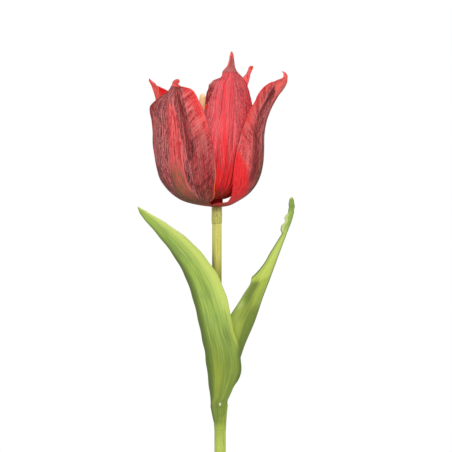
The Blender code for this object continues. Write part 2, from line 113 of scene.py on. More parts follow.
class Tree:
    """The nodes of a material or of the world."""

    def __init__(self, tree):
        self.tree = tree

    def feed(self, socket, value):
        if isinstance(value, Field):
            self.tree.links.new(value.socket, socket)
        else:
            socket.default_value = value

    def node(self, kind, settings=None, inputs=None, output=0):
        """Any node: its settings are set first, then the values or links of its sockets."""
        node = self.tree.nodes.new(kind)
        for name, value in (settings or {}).items():
            setattr(node, name, value)
        for name, value in (inputs or {}).items():
            self.feed(node.inputs[name], value)
        return Field(self, node.outputs[output])

    def math(self, operation, *values):
        return self.node("ShaderNodeMath", {"operation": operation}, dict(enumerate(values)))


class Finish(Tree):
    """One material: a Principled shader whose colour, gloss and relief are worked out over the surface."""

    def __init__(self, name, **constants):
        self.material = bpy.data.materials.new(name)
        self.material.use_nodes = True
        super().__init__(self.material.node_tree)
        self.shader = self.tree.nodes["Principled BSDF"]
        for socket, value in constants.items():
            self.feed(self.shader.inputs[socket.replace("_", " ")], value)

    def place(self):
        """The surface's own x, y and z in millimetres."""
        where = self.node("ShaderNodeTexCoord", output="Object")
        scaled = self.node("ShaderNodeVectorMath", {"operation": "SCALE"}, {"Vector": where, "Scale": 1 / MM})
        return [self.node("ShaderNodeSeparateXYZ", {}, {0: scaled}, axis) for axis in range(3)]

    def mark(self, name):
        """A value that the mesh holds at each of its points."""
        return self.node("ShaderNodeAttribute", {"attribute_name": name}, {}, "Fac")

    def grain(self, x, y, z=0.0):
        """Soft noise from 0 to 1. Its spots are as large as one unit of the coordinates."""
        where = self.node("ShaderNodeCombineXYZ", {}, {0: x, 1: y, 2: z})
        return self.node("ShaderNodeTexNoise", {}, {"Vector": where, "Scale": 1.0, "Detail": 2.0})

    def coats(self, colour, *coats):
        """Lays coats over a colour, one on another. Each is a colour and its share, from 0 to 1."""
        for over, share in coats:
            below, above = (c if isinstance(c, Field) else srgb(*c) for c in (colour, over))
            inputs = {0: share, 6: below, 7: above}
            colour = self.node("ShaderNodeMix", {"data_type": "RGBA"}, inputs, 2)
        return colour

    def wear(self, colour, roughness, relief, depth):
        """Puts colour, roughness and a relief of this depth in metres on the shader."""
        bump = self.node("ShaderNodeBump", {}, {"Strength": 1.0, "Distance": depth, "Height": relief})
        for socket, value in (("Base Color", colour), ("Roughness", roughness), ("Normal", bump)):
            self.feed(self.shader.inputs[socket], value)
        return self.material


def linked(name, data):
    """An object that holds this data, in the scene."""
    obj = bpy.data.objects.new(name, data)
    bpy.context.scene.collection.objects.link(obj)
    return obj


def mesh_of(form, name):
    mesh = bpy.data.meshes.new(name)
    form.to_mesh(mesh)
    form.free()
    return mesh


def grown(name, cells_across, cells_along, place, *materials):
    """A sheet grown from a flat grid. place(u, s) puts its points: u runs up the sheet, s across it."""
    form = bmesh.new()
    bmesh.ops.create_grid(form, x_segments=cells_across, y_segments=cells_along, size=1)
    mesh = mesh_of(form, name)
    flat = np.empty(len(mesh.vertices) * 3)
    mesh.vertices.foreach_get("co", flat)
    mesh.vertices.foreach_set("co", place((flat[1::3] + 1) / 2, flat[0::3]).ravel())
    for material in materials:
        mesh.materials.append(material)
    mesh.shade_smooth()
    mesh.update()
    return linked(name, mesh)


def close_seam(obj, fill_ends=False):
    """Joins the sides of a sheet that was rolled into a tube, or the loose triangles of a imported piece."""
    form = bmesh.new()
    form.from_mesh(obj.data)
    bmesh.ops.remove_doubles(form, verts=form.verts, dist=SAME_POINT)
    if fill_ends:
        bmesh.ops.holes_fill(form, edges=[edge for edge in form.edges if edge.is_boundary])
    form.to_mesh(obj.data)
    form.free()


def thicken(obj, wall, weights=None, thin_share=1.0):
    """A wall behind the faces. Where the weight of a point is 0, it is thinned to this share."""
    solid = obj.modifiers.new("Wall", "SOLIDIFY")
    solid.thickness, solid.offset, solid.thickness_vertex_group = wall, -1, thin_share
    if weights is not None:
        group = obj.vertex_groups.new(name="wall")
        solid.vertex_group = group.name
        for index, weight in enumerate(np.round(weights * 10) / 10):
            group.add([index], weight, "REPLACE")
    return solid


def rolled(radius, height, s, middle=(0, 0)):
    """Points of a tube: s from -1 to 1 goes once round it, starting at the back."""
    angle = np.pi * s
    return np.stack([middle[0] + radius * np.sin(angle), middle[1] - radius * np.cos(angle), height], axis=1)


def stem_green():
    finish = Finish("stem_green", Specular_IOR_Level=0.35)
    x, y, z = finish.place()
    fibres = finish.grain(x * 1.6, y * 1.6, z * 0.09)
    threads = finish.grain(x * 4.0, y * 4.0, z * 0.35)
    blotches = finish.grain(x * 0.35, y * 0.35, z * 0.06)
    lines = fibres * 0.6 + threads * 0.4
    colour = finish.coats(
        MID_GREEN,
        (LIGHT_GREEN, lines.rise(0.36, 0.6)),
        (DEEP_GREEN, blotches.rise(0.52, 0.75) * 0.5),
        (DEEP_GREEN, z.rise(192, 206) * 0.35),
    )
    return finish.wear(colour, 0.38 + threads * 0.2, lines, LOWER_STEM_RELIEF)


lower_low, lower_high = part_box("lower_stem_cover")
lower_stem_radius = (lower_high.x - lower_low.x) / 2


def lower_stem_place(u, s):
    ridges = LOWER_STEM_RIDGE * (1 + np.cos(LOWER_STEM_RIDGES * np.pi * s)) / 2
    return rolled(lower_stem_radius - ridges, lower_low.z + (lower_high.z - lower_low.z) * u, s)


lower_stem = grown("lower_stem", STEM_CELLS_AROUND, LOWER_STEM_CELLS, lower_stem_place, stem_green())
close_seam(lower_stem)
thicken(lower_stem, lower_stem_radius - STEM_BORE)
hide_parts("lower_stem_cover")
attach(lower_stem, "stem")

# The upper stem: a thinner plastic tube over the same wire, yellower than the lower one and satin. It is
# moulded round the wire above the collar.
UPPER_STEM_RADIUS = 2.5 * MM
STEM_STEP = -1.7 * MM
STEM_STRAIGHT_FOOT = 15.0 * MM
STEM_STEP_LENGTH = 43.0 * MM
UPPER_STEM_CELLS = 160
UPPER_STEM_RELIEF = 0.08 * MM
WIRE_RADIUS = 1.1 * MM
WIRE_STATIONS = 160
WIRE_RELIEF = 0.02 * MM
BEND_HALF_LENGTH = 15.0 * MM
YELLOW_OLIVE = (208, 204, 104)
OLIVE = (176, 176, 66)
DARK_OLIVE = (112, 106, 22)
PALE_OLIVE = (230, 222, 130)
STEEL_DARK = (150, 150, 152)
STEEL_LIGHT = (196, 196, 198)

upper_low, upper_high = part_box("upper_stem_cover")


def joint_place(name):
    return next(Vector(joint["pos_m"]) for joint in frame["joints"] if joint["name"] == name)


def smooth_step(share):
    share = np.clip(share, 0.0, 1.0)
    return share * share * (3 - 2 * share)


def stem_side(height):
    """How far the stem's middle line has stepped to the side at this height."""
    return STEM_STEP * smooth_step((height - upper_low.z - STEM_STRAIGHT_FOOT) / STEM_STEP_LENGTH)


def upper_stem_place(u, s):
    height = upper_low.z + (upper_high.z - upper_low.z) * u
    return rolled(UPPER_STEM_RADIUS, height, s, (stem_side(height), 0))


def rod(name, points, radius, material, sides=16):
    """A round rod along the points, with its ends closed."""
    form = bmesh.new()
    bmesh.ops.create_cone(form, cap_ends=True, segments=sides, radius1=radius, radius2=radius, depth=1.0)
    side_edges = [edge for edge in form.edges if abs(edge.verts[0].co.z - edge.verts[1].co.z) > 0.5]
    bmesh.ops.subdivide_edges(form, edges=side_edges, cuts=len(points) - 2)
    line = np.array([list(point) for point in points])
    along = np.gradient(line, axis=0)
    for vert in form.verts:
        index = round((vert.co.z + 0.5) * (len(points) - 1))
        turn = Vector((0, 0, 1)).rotation_difference(Vector(along[index]).normalized())
        vert.co = Vector(line[index]) + turn @ Vector((vert.co.x, vert.co.y, 0))
    mesh = mesh_of(form, name)
    mesh.shade_smooth()
    mesh.set_sharp_from_angle(angle=math.radians(50))
    mesh.materials.append(material)
    return linked(name, mesh)


def stem_olive():
    finish = Finish("stem_olive", Specular_IOR_Level=0.4, Coat_Roughness=0.3)
    x, y, z = finish.place()
    fibres = finish.grain(x * 1.3, y * 1.3, z * 0.05)
    threads = finish.grain(x * 3.5, y * 3.5, z * 0.25)
    blotches = finish.grain(x * 0.5, y * 0.5, z * 0.03)
    colour = finish.coats(
        OLIVE,
        (YELLOW_OLIVE, (fibres * 0.5 + threads * 0.5).rise(0.34, 0.58)),
        (DARK_OLIVE, blotches.rise(0.5, 0.8) * 0.4),
        (MID_GREEN, z.rise(262, 228) * 0.45),
        # Painted shade: the left leaf's shadow on the stem's left side below 300 mm, and the stem darker
        # below 297 mm beside the leaves.
        (DARK_OLIVE, x.rise(-2.0, -4.0) * z.rise(300, 290) * 0.9),
        (DARK_OLIVE, z.rise(297, 282) * 0.7),
        (PALE_OLIVE, z.rise(300, 307) * 0.32),
    )
    return finish.wear(colour, 0.36 + threads * 0.16, fibres, UPPER_STEM_RELIEF)


def plain(name, dark, light, spots, fades, roughness, depth, **constants):
    """A plain material with soft clouds between two colours.

    spots: how many to a millimetre, across the stem and along it. fades: where the clouds turn from dark to
    light, or None for all the way. roughness: its least and what the clouds add.
    """
    finish = Finish(name, **constants)
    x, y, z = finish.place()
    clouds = finish.grain(x * spots[0], y * spots[0], z * spots[1])
    colour = finish.coats(dark, (light, clouds.rise(*fades) if fades else clouds))
    return finish.wear(colour, roughness[0] + clouds * roughness[1], clouds, depth)


bend_reach = Vector((0, 0, BEND_HALF_LENGTH))
bend_start, bend_end = joint_place("stem_bend") - bend_reach, joint_place("stem_bend") + bend_reach
upper_stem = grown("upper_stem", STEM_CELLS_AROUND, UPPER_STEM_CELLS, upper_stem_place, stem_olive())
close_seam(upper_stem)
thicken(upper_stem, UPPER_STEM_RADIUS - STEM_BORE)
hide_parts("upper_stem_cover")
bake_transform(upper_stem)
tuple(bend_start)
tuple(bend_end)

wire_low, wire_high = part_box("stem_wire")
wire_heights = np.linspace(wire_low.z, wire_high.z, WIRE_STATIONS)
wire_line = [(stem_side(height), 0, height) for height in wire_heights]
steel = plain("drawn_steel", STEEL_DARK, STEEL_LIGHT, (8, 0.4), None, (0.28, 0.25), WIRE_RELIEF, Metallic=1.0)
wire = rod("wire_in_stem", wire_line, WIRE_RADIUS, steel)
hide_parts("stem_wire")
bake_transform(wire)
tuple(bend_start)
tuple(bend_end)

# The neck sleeve: a short soft tube of thin clear-green plastic that covers the joint between the stem and
# the flower's peg. Its foot is cut a little askew and it is faintly wrinkled at the top.
SLEEVE_SWELL = 0.16 * MM
SLEEVE_ASKEW = 0.45 * MM
SLEEVE_OVERLAP = 0.75 * MM
SLEEVE_WALL = 0.15 * MM
SLEEVE_REACH = 0.25 * MM
SLEEVE_WRINKLES = 7
SLEEVE_WRINKLE_DEPTH = 0.06 * MM
SLEEVE_RELIEF = 0.06 * MM
SLEEVE_CELLS = 40
SLEEVE_GREEN = (190, 184, 92)
SLEEVE_SHADE = (128, 118, 40)

sleeve_low, sleeve_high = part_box("neck_sleeve")
sleeve_radius = (sleeve_high.x - sleeve_low.x) / 2
neck_x = (sleeve_high.x + sleeve_low.x) / 2


def sleeve_place(u, s):
    swell = SLEEVE_SWELL * np.sin(np.pi * u) ** 2 * (1.2 - u)
    pucker = SLEEVE_WRINKLE_DEPTH * np.sin(SLEEVE_WRINKLES * 2 * np.pi * s) * smooth_step((u - 0.55) / 0.45)
    foot = sleeve_low.z - SLEEVE_OVERLAP
    height = foot + (sleeve_high.z + SLEEVE_REACH - foot) * u
    askew = SLEEVE_ASKEW * (1 - u) * (1 + np.sin(np.pi * s)) / 2
    return rolled(sleeve_radius - SLEEVE_SWELL / 2 + swell + pucker, height + askew, s, (neck_x, 0))


def sleeve_plastic():
    finish = Finish("sleeve_plastic", Coat_Weight=0.35, Coat_Roughness=0.18, Specular_IOR_Level=0.4)
    x, y, z = finish.place()
    low = sleeve_low.z / MM
    threads = finish.grain(x * 2.2, y * 2.2, z * 0.2)
    clouds = finish.grain(x * 0.7, y * 0.7, z * 0.5)
    colour = finish.coats(
        SLEEVE_SHADE,
        (SLEEVE_GREEN, (threads * 0.6 + clouds * 0.4).rise(0.36, 0.54)),
        (OLIVE, z.rise(low + 3.5, low + 0.5) * 0.45),
        (SLEEVE_SHADE, z.rise(low + 5.2, low + 7.6) * 0.7),
    )
    return finish.wear(colour, 0.3 + threads * 0.2, threads, SLEEVE_RELIEF)


sleeve = grown("neck_sleeve_skin", STEM_CELLS_AROUND, SLEEVE_CELLS, sleeve_place, sleeve_plastic())
close_seam(sleeve)
thicken(sleeve, SLEEVE_WALL)
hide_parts("neck_sleeve")
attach(sleeve, "neck")

# The collar: a moulded ring, pushed onto the stem, that carries both leaves. Its foot feathers out over the
# top of the lower stem, so that no step shows there.
COLLAR_PROFILE = (
    (2.6, 204.0), (3.03, 203.4), (3.1, 204.6), (3.2, 206.6), (3.34, 209.0), (3.6, 212.4), (3.98, 215.6),
    (4.1, 216.8), (4.0, 217.0), (2.6, 217.0), (2.6, 204.0),
)
LEAF_MID = (150, 178, 76)
LEAF_LIGHT = (198, 213, 106)
LEAF_PALE = (224, 229, 158)
LEAF_DARK = (88, 108, 38)
LEAF_COOL = (124, 153, 76)
LEAF_LOW = (118, 138, 50)
LEAF_GOLD = (184, 194, 64)
NUB_CREAM = (246, 244, 206)
LEAF_RELIEF = 0.2 * MM
LEAF_FOOT_GAP = 0.3 * MM

leaf_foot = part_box("leaf_collar")[1].z + LEAF_FOOT_GAP


def ridge(value, middle, half_width):
    """1 at the middle, falling to nothing on either side."""
    return np.exp(-(((value - middle) / half_width) ** 2))


def collar_place(u, s):
    radii, heights = np.array(COLLAR_PROFILE).T * MM
    stations = np.linspace(0, 1, len(radii))
    return rolled(np.interp(u, stations, radii), np.interp(u, stations, heights), s)


def leaf_cloth():
    finish = Finish("leaf_cloth", Specular_IOR_Level=0.3)
    grain, mark = finish.grain, finish.mark
    fan, along, height = mark("fan"), mark("along"), mark("height")
    veins = grain(fan * 1.5, along * 0.03)
    threads = grain(fan * 3.4, along * 0.12)
    clouds = grain(fan * 0.2, along * 0.07)
    pores = grain(fan * 2.6, along * 2.2)
    strokes = grain(fan * 1.7, along * 0.035, 5.0)
    lines = veins * 0.55 + threads * 0.45
    low = (height + (clouds - 0.5) * 20).rise(50, 16)
    colour = finish.coats(
        LEAF_MID,
        (LEAF_COOL, clouds.rise(0.42, 0.66) * 0.6),
        (LEAF_LIGHT, lines.rise(0.46, 0.7) * 0.45),
        (LEAF_LOW, low * 0.95),
        (LEAF_GOLD, lines.rise(0.54, 0.66) * low * 0.3),
        (LEAF_DARK, lines.rise(0.5, 0.34) * (0.32 + low * 0.22)),
        (LEAF_DARK, strokes.rise(0.48, 0.4) * 0.22),
        (LEAF_LIGHT, strokes.rise(0.54, 0.62) * 0.18),
        # Painted light and shade: lit is painted light and dim is painted shade. cool is a painted shadow on
        # the left leaf and the right leaf's own bluish lobes. pale is the paler tips and lobes, and a painted
        # highlight along the left leaf's right margin.
        (LEAF_LIGHT, (mark("lit") + (clouds - 0.5) * 0.4).rise(0.1, 0.95) * 0.9),
        (LEAF_GOLD, mark("gold") * 0.85),
        (LEAF_COOL, mark("cool") * 0.8),
        (LEAF_PALE, (mark("pale") + (pores - 0.5) * 0.5).rise(0.2, 0.9) * 0.9),
        (LEAF_DARK, (mark("dim") + (veins - 0.5) * 0.35).rise(0.1, 1.0) * 0.95),
        (LEAF_PALE, pores.rise(0.66, 0.8) * 0.22),
        (LEAF_DARK, pores.rise(0.36, 0.24) * 0.22),
        (NUB_CREAM, mark("nub")),
        (MID_GREEN, height.rise(-9, -13) * 0.9),
    )
    relief = veins * 0.5 + threads * 0.3 + pores * 0.2
    return finish.wear(colour, 0.42 + threads * 0.25, relief, LEAF_RELIEF)


def add_marks(obj, **marks):
    """Holds a value for each point of the mesh under each name."""
    for name, values in marks.items():
        attribute = obj.data.attributes.new(name, "FLOAT", "POINT")
        attribute.data.foreach_set("value", np.asarray(values, np.float32))


def grid_of(obj, cells_across):
    """For each point of a grown sheet: its u and s, its place, and the way that it faces."""
    count = len(obj.data.vertices)
    places, facing = np.empty(count * 3), np.empty(count * 3)
    obj.data.vertices.foreach_get("co", places)
    obj.data.vertex_normals.foreach_get("vector", facing)
    s = np.linspace(-1, 1, cells_across + 1)
    u = np.linspace(0, 1, count // len(s))
    return np.repeat(u, len(s)), np.tile(s, len(u)), places.reshape(-1, 3), facing.reshape(-1, 3)


leaf_green = leaf_cloth()
collar_cells = 10 * (len(COLLAR_PROFILE) - 1)
collar = grown("collar", STEM_CELLS_AROUND, collar_cells, collar_place, leaf_green)
u, s, places, facing = grid_of(collar, STEM_CELLS_AROUND)
collar_heights = places[:, 2] / MM
add_marks(
    collar,
    fan=s * 12,
    along=collar_heights,
    height=collar_heights - leaf_foot / MM,
    # dim: painted shade on the collar's left side, and a little all round.
    dim=0.4 * ridge(s, -0.45, 0.3) + 0.15,
    gold=0.35 * ridge(s, 0.35, 0.3),
)
close_seam(collar)
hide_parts("leaf_collar")
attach(collar, "stem")

# The leaves: coated cloth pressed with lengthwise veins. The left one clasps the collar and its foot runs
# down over it as a sheath; the right one is folded along its midrib and stands inside the left one's foot.
LEAF_THICKNESS = 0.6 * MM
SHEATH_THIN_SHARE = 0.15
SHEATH_LIFT = 0.12
SHEATH_SINK = 0.3
SHEATH_LENGTH = 11.0
LEFT_FOOT_RADIUS = 4.72
LEFT_FOOT_EDGES = (math.radians(-95), math.radians(42))
RIGHT_FOOT_DEPTH = 1.2
RIGHT_LEAF_FOLD = 1.7
LEAF_HALF_WIDTH = 9.0
LEAF_EASE = 0.25
LEAF_EASE_RISE = 10.0
LEAF_CELLS_ACROSS = 80
LEAF_CELLS_ALONG = 300
NUB_ACROSS = 0.32
NUB_HEIGHT = -0.35
NUB_RISE = 0.35
LEAF_VEINS = ((0.05, 2.9, 0.0), (0.03, 5.3, 1.0))
LEAF_WAVE = 0.12
LEAF_CRUMPLE = 0.1

# A row: the left margin's height above the foot, x and y, the same for the right margin, and how far the
# middle stands forward.
LEFT_LEAF_ROWS = (
    (4.0, -5.15, 0.3, 4.0, 4.95, -4.0, 3.2), (8.0, -5.5, 0.1, 9.2, 7.3, -4.9, 3.4),
    (11.0, -5.85, -0.1, 12.0, 9.1, -5.3, 3.35), (14.0, -6.2, -0.35, 15.5, 10.4, -5.6, 3.3),
    (17.5, -6.6, -0.65, 18.5, 10.9, -5.8, 3.2), (22.0, -7.2, -1.2, 24.5, 10.4, -5.9, 3.25),
    (27.0, -7.8, -1.9, 30.5, 9.4, -5.95, 3.35), (33.0, -9.05, -2.8, 38.0, 6.9, -6.1, 3.5),
    (41.0, -10.7, -3.8, 47.0, 5.2, -6.4, 3.7), (49.0, -12.5, -4.6, 56.0, 2.95, -7.0, 3.85),
    (58.0, -15.0, -5.6, 66.4, -1.3, -7.8, 3.9), (66.4, -18.1, -6.6, 75.5, -7.6, -8.8, 3.7),
    (75.9, -23.3, -8.0, 84.0, -15.3, -10.0, 3.3), (83.6, -28.8, -9.5, 90.3, -23.2, -11.2, 2.6),
    (90.0, -34.1, -11.0, 95.2, -30.7, -12.5, 1.8), (95.9, -39.0, -12.8, 99.0, -37.0, -13.5, 0.9),
    (100.0, -41.9, -14.1, 101.2, -41.2, -14.4, 0.3), (101.9, -42.6, -14.4, 102.1, -42.5, -14.5, 0.05),
)
# Rows of height above the foot and x, for the midrib and for the margins.
RIGHT_LEAF_RIB = (
    (0, 3.75), (8, 5.0), (17, 8.2), (30.5, 12.7), (42, 17.6), (56, 22.4), (62.8, 25.0), (70.9, 28.0),
    (82, 32.1), (90.7, 35.4), (95.2, 37.1), (99.8, 38.2), (104, 38.4), (107.2, 37.6),
)
RIGHT_LEAF_MARGIN = (
    (0, 2.8), (8, 2.1), (17, 2.7), (30.5, 3.0), (41, 3.3), (46.4, 6.0), (52.3, 9.8), (57.3, 12.9),
    (63, 16.2), (65.3, 16.6), (67.1, 18.4), (69.9, 20.9), (73.4, 23.5), (77.5, 25.8), (83.6, 29.5),
    (86.6, 31.3), (88.6, 32.4), (90.1, 31.8), (91.9, 32.0), (95, 34.2), (96.2, 33.7), (97.5, 34.1),
    (99, 35.5), (101, 35.9), (104.9, 36.1), (106.6, 36.5), (107.2, 37.3),
)
# Rows of height above the foot, the midrib's y and how far the margins stand from it, front and back.
RIGHT_LEAF_SPREAD = (
    (0, 0, 2.51), (8, 0, 3.2), (17, 0.2, 3.8), (30.5, 0.6, 4.6), (42, 1.0, 5.4), (56, 1.4, 5.6),
    (68, 1.6, 5.0), (81, 1.6, 3.8), (93, 1.4, 2.2), (100.5, 1.2, 1.4), (107.2, 1.0, 0.4),
)


def smooth_read(position, stations, values, free=False):
    """Values on a smooth curve through the stations. Unless it is free, the curve never overshoots."""
    stations, values = np.asarray(stations, float), np.asarray(values, float)
    lengths = np.diff(stations)
    slopes = np.diff(values) / lengths
    tangents = np.gradient(values, stations)
    if not free:
        tangents[1:-1] = 0
        rising = slopes[:-1] * slopes[1:] > 0
        before, after = slopes[:-1][rising], slopes[1:][rising]
        tangents[1:-1][rising] = 2 * before * after / (before + after)
    position = np.clip(position, stations[0], stations[-1])
    cell = np.clip(np.searchsorted(stations, position, side="right") - 1, 0, len(slopes) - 1)
    share = (position - stations[cell]) / lengths[cell]
    ends = values[cell] * (1 - share) ** 2 * (1 + 2 * share) + values[cell + 1] * share**2 * (3 - 2 * share)
    leans = tangents[cell] * share * (1 - share) ** 2 - tangents[cell + 1] * share**2 * (1 - share)
    return ends + lengths[cell] * leans


def left_leaf_place(u, s):
    """The left leaf's outer face: an arc across, from the left margin round the front to the right one."""
    start, end = LEFT_FOOT_EDGES
    radius = LEFT_FOOT_RADIUS
    sides = [(0, radius * math.sin(angle), -radius * math.cos(angle)) for angle in (start, end)]
    rows = np.vstack([(*sides[0], *sides[1], radius * (1 - math.cos((end - start) / 2))), LEFT_LEAF_ROWS])
    middles = (rows[:, :3] + rows[:, 3:6]) / 2
    stations = np.concatenate([[0], np.cumsum(np.linalg.norm(np.diff(middles, axis=0), axis=1))])
    position = -SHEATH_LENGTH + (stations[-1] + SHEATH_LENGTH) * u
    left_z, left_x, left_y, right_z, right_x, right_y, forward = (
        smooth_read(position, stations, column, free=True) for column in rows.T
    )
    half = np.sqrt((right_x - left_x) ** 2 + (right_y - left_y) ** 2 + (right_z - left_z) ** 2) / 2
    swing = np.sin(s * np.pi / 2) * (1 + LEAF_EASE * smooth_step(position / LEAF_EASE_RISE) / half)
    crown = np.cos(s * np.pi / 2)
    facing = (start + end) / 2 * (1 - smooth_step(position / stations[1]))
    x = (left_x + right_x) / 2 + (right_x - left_x) / 2 * swing + forward * crown * np.sin(facing)
    y = (left_y + right_y) / 2 + (right_y - left_y) / 2 * swing - forward * crown * np.cos(facing)
    z = leaf_foot / MM + (left_z + right_z) / 2 + (right_z - left_z) / 2 * swing
    below = np.minimum(position, 0) * (0.8 - 0.2 * swing)
    radii, heights = np.array(COLLAR_PROFILE[1:8]).T
    bulge = 1.05 * smooth_step(-0.25 - swing) * smooth_step((SHEATH_LENGTH + below) / 6) * (1 + below / 12)
    sunk = SHEATH_SINK * smooth_step((-position / SHEATH_LENGTH - 0.72) / 0.26)
    lifted = np.interp(z + below, heights, radii) + SHEATH_LIFT + bulge - sunk
    scale = np.where(position < 0, lifted / radius, 1)
    scale = 1 + (scale - 1) * smooth_step(-below / 2.5)
    return np.stack([x * scale, y * scale, z + below], axis=1) * MM


def right_leaf_place(u, s):
    """The right leaf's outer face: folded along its midrib, with both margins towards the stem."""
    position = -RIGHT_FOOT_DEPTH + (RIGHT_LEAF_RIB[-1][0] + RIGHT_FOOT_DEPTH) * u
    rib = smooth_read(position, *np.array(RIGHT_LEAF_RIB).T, free=True)
    margin = smooth_read(position, *np.array(RIGHT_LEAF_MARGIN).T)
    heights, *columns = np.array(RIGHT_LEAF_SPREAD).T
    middle, half = (smooth_read(position, heights, column) for column in columns)
    y = middle + half * np.sin(s * np.pi / 2)
    ease = LEAF_EASE * smooth_step(position / LEAF_EASE_RISE)
    x = rib + ease - (rib - margin + 2 * ease) * np.abs(s) ** RIGHT_LEAF_FOLD
    return np.stack([x, y, leaf_foot / MM + position], axis=1) * MM


def sheet_lengths(places, cells_across):
    """Distances on a grown sheet in millimetres: across from the middle, along it and from a margin."""
    grid = places.reshape(-1, cells_across + 1, 3)
    middle = (cells_across + 1) // 2
    steps = np.linalg.norm(np.diff(grid, axis=1), axis=2)
    across = np.pad(np.cumsum(steps, axis=1), ((0, 0), (1, 0)))
    rises = np.linalg.norm(np.diff(grid[:, middle], axis=0), axis=1)
    along = np.pad(np.cumsum(rises), (1, 0)).repeat(cells_across + 1)
    edge = np.minimum(across, across[:, -1:] - across)
    centred = across - across[:, middle:middle + 1]
    return centred.ravel() / MM, along / MM, edge.ravel() / MM


def ramp(value, low, high):
    """0 below low, 1 above high and smooth between. With low above high it falls instead."""
    return smooth_step((value - low) / (high - low))


def left_leaf_marks(height, s):
    """Where light and shade are painted on the left leaf (lit and dim), and where it is pale, gold and so on,
    from 0 to 1 at each point.
    """
    # left_edge, heel, sheath, hollow and nub_shade make up dim: painted shade where the left edge turns away,
    # low on the right by the stem, on the sheath's foot, in the hollow and round the nub.
    left_edge = ramp(s, -0.15, -0.75) * (1 - 0.5 * ramp(height, 66, 96))
    heel = ramp(s, 0.35, 0.85) * ramp(height, 4, 12) * ramp(height, 36, 24)
    sheath = 0.35 * ridge(s, 0.05, 0.3) * ramp(height, 6, -2)
    hollow = 0.5 * ridge(s, 0.36, 0.22) * ridge(height, 35, 7)
    nub_shade = 0.8 * ridge(s, NUB_ACROSS, 0.13) * ridge(height, NUB_HEIGHT, 2.0)
    rolled_rim = ridge(s, 0.76, 0.14) * ridge(height, 36, 7)
    # A painted highlight along the right margin, where the edge faces up.
    pale_margin = ridge(s, 1, 0.1) * ramp(height, 44, 54)
    return {
        "lit": ramp(s, -0.25, 0.75) * ramp(height, 30, 60),
        "dim": np.maximum.reduce([left_edge, heel, sheath, hollow]) + nub_shade,
        "pale": 0.8 * ramp(s, 0.35, 0.85) * ramp(height, 80, 92) + 0.4 * pale_margin,
        "gold": rolled_rim + 0.4 * ridge(s, -0.25, 0.2) * ridge(height, 14, 12),
        # cool: a painted shadow in the middle of the blade, lower down.
        "cool": ridge(s, 0.4, 0.2) * ridge(height, 38, 8) * 0.3,
        "nub": ridge(s, NUB_ACROSS, 0.07) * ridge(height, NUB_HEIGHT, 0.8),
    }


def right_leaf_marks(height, s):
    """The same for the right leaf. Its front half runs from the margin at -1 to the midrib at 0."""
    upper = ramp(height, 63, 67)
    margin_line = ridge(np.abs(s), 1, 0.07) * upper * ramp(height, 96, 90)
    tip_folds = ridge(height, 102.6, 1.8) * (0.5 + 0.5 * np.sin(height * 5 + s * 9)) * 0.8
    hollow = ridge(s, -0.65 - 0.18 * ramp(height, 48, 58), 0.25)
    hollow *= ramp(height, 65.5, 62) * ramp(height, 34, 46) * (0.62 + 0.2 * ramp(height, 50, 56))
    low_front = 0.74 * ramp(s, -0.78, -0.48) * ramp(height, 60, 46)
    # The dims are painted shade: along the midrib, on a margin line, over the back half, in the folds at the
    # tip, low down and at the tip, in the hollow and on the low front.
    dims = (
        ridge(s, 0.0, 0.18),
        margin_line,
        ramp(s, 0, 0.3) * 0.45,
        tip_folds,
        0.38 * ramp(height, 68, 56) + 0.45 * ramp(height, 98, 101),
        hollow,
        low_front,
    )
    lobes = ramp(s, -0.55, -0.85) * ramp(height, 87, 90) * ramp(height, 100, 98)
    return {
        # lit: a painted highlight beside the midrib.
        "lit": ridge(s, -0.55, 0.35) * upper * ramp(height, 100, 80),
        "dim": np.maximum.reduce(dims),
        "pale": ridge(height, 107.4, 1.2) + lobes * 0.6 + 0.5 * ridge(s, -0.9, 0.1) * ridge(height, 51, 4),
        "gold": 0.6 * ridge(s, -0.6, 0.45) * ramp(height, 84, 60) * ramp(height, 26, 38),
        "cool": lobes * 0.75,
        "nub": 0 * s,
    }


def press(obj, places, facing, relief):
    """Moves a sheet's points outwards by this relief in millimetres."""
    obj.data.vertices.foreach_set("co", (places + facing * (relief * MM)[:, None]).ravel())
    obj.data.update()


def leaf(name, place, marks_at):
    """A blade with its veins pressed in, its margins a little wavy, and its marks for the finish."""
    blade = grown(name + "_blade", LEAF_CELLS_ACROSS, LEAF_CELLS_ALONG, place, leaf_green)
    u, s, places, facing = grid_of(blade, LEAF_CELLS_ACROSS)
    across, along, edge = sheet_lengths(places, LEAF_CELLS_ACROSS)
    height = (places[:, 2] - leaf_foot) / MM
    fan = s * LEAF_HALF_WIDTH
    grooves = sum(depth * np.sin(fan * pitch + shift) for depth, pitch, shift in LEAF_VEINS)
    wave = LEAF_WAVE * np.sin(along * 0.5 + 2 * s) * ramp(edge, 2, 0)
    crumple = LEAF_CRUMPLE * np.sin(along * 1.9 + fan) * ramp(height, 96, 100)
    calm = ramp(height, 2, 10) * smooth_step((1 - u) / 0.03)
    marks = marks_at(height, s)
    press(blade, places, facing, (grooves + wave + crumple) * calm + NUB_RISE * marks["nub"])
    add_marks(blade, fan=fan, along=along, height=height, **marks)
    thicken(blade, LEAF_THICKNESS, smooth_step((height + 3) / 5), SHEATH_THIN_SHARE)
    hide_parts(name)
    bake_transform(blade)


leaf("left_leaf", left_leaf_place, left_leaf_marks)
leaf("right_leaf", right_leaf_place, right_leaf_marks)

# The leaf wires: soft steel wire with a green plastic coat, one for each leaf. It is glued behind the midrib,
# and it holds the blade in whatever curve a hand bends it to.
LEAF_WIRE_RADIUS = 0.45 * MM
LEAF_WIRE_SUNK = 0.1 * MM
LEAF_WIRE_SPAN = (0.17, 0.74)
LEAF_WIRE_STATIONS = 60
LEAF_WIRE_SIDES = 12
LEAF_WIRE_RELIEF = 0.05 * MM
COATING_DARK = (110, 140, 62)
COATING_LIGHT = (142, 170, 84)

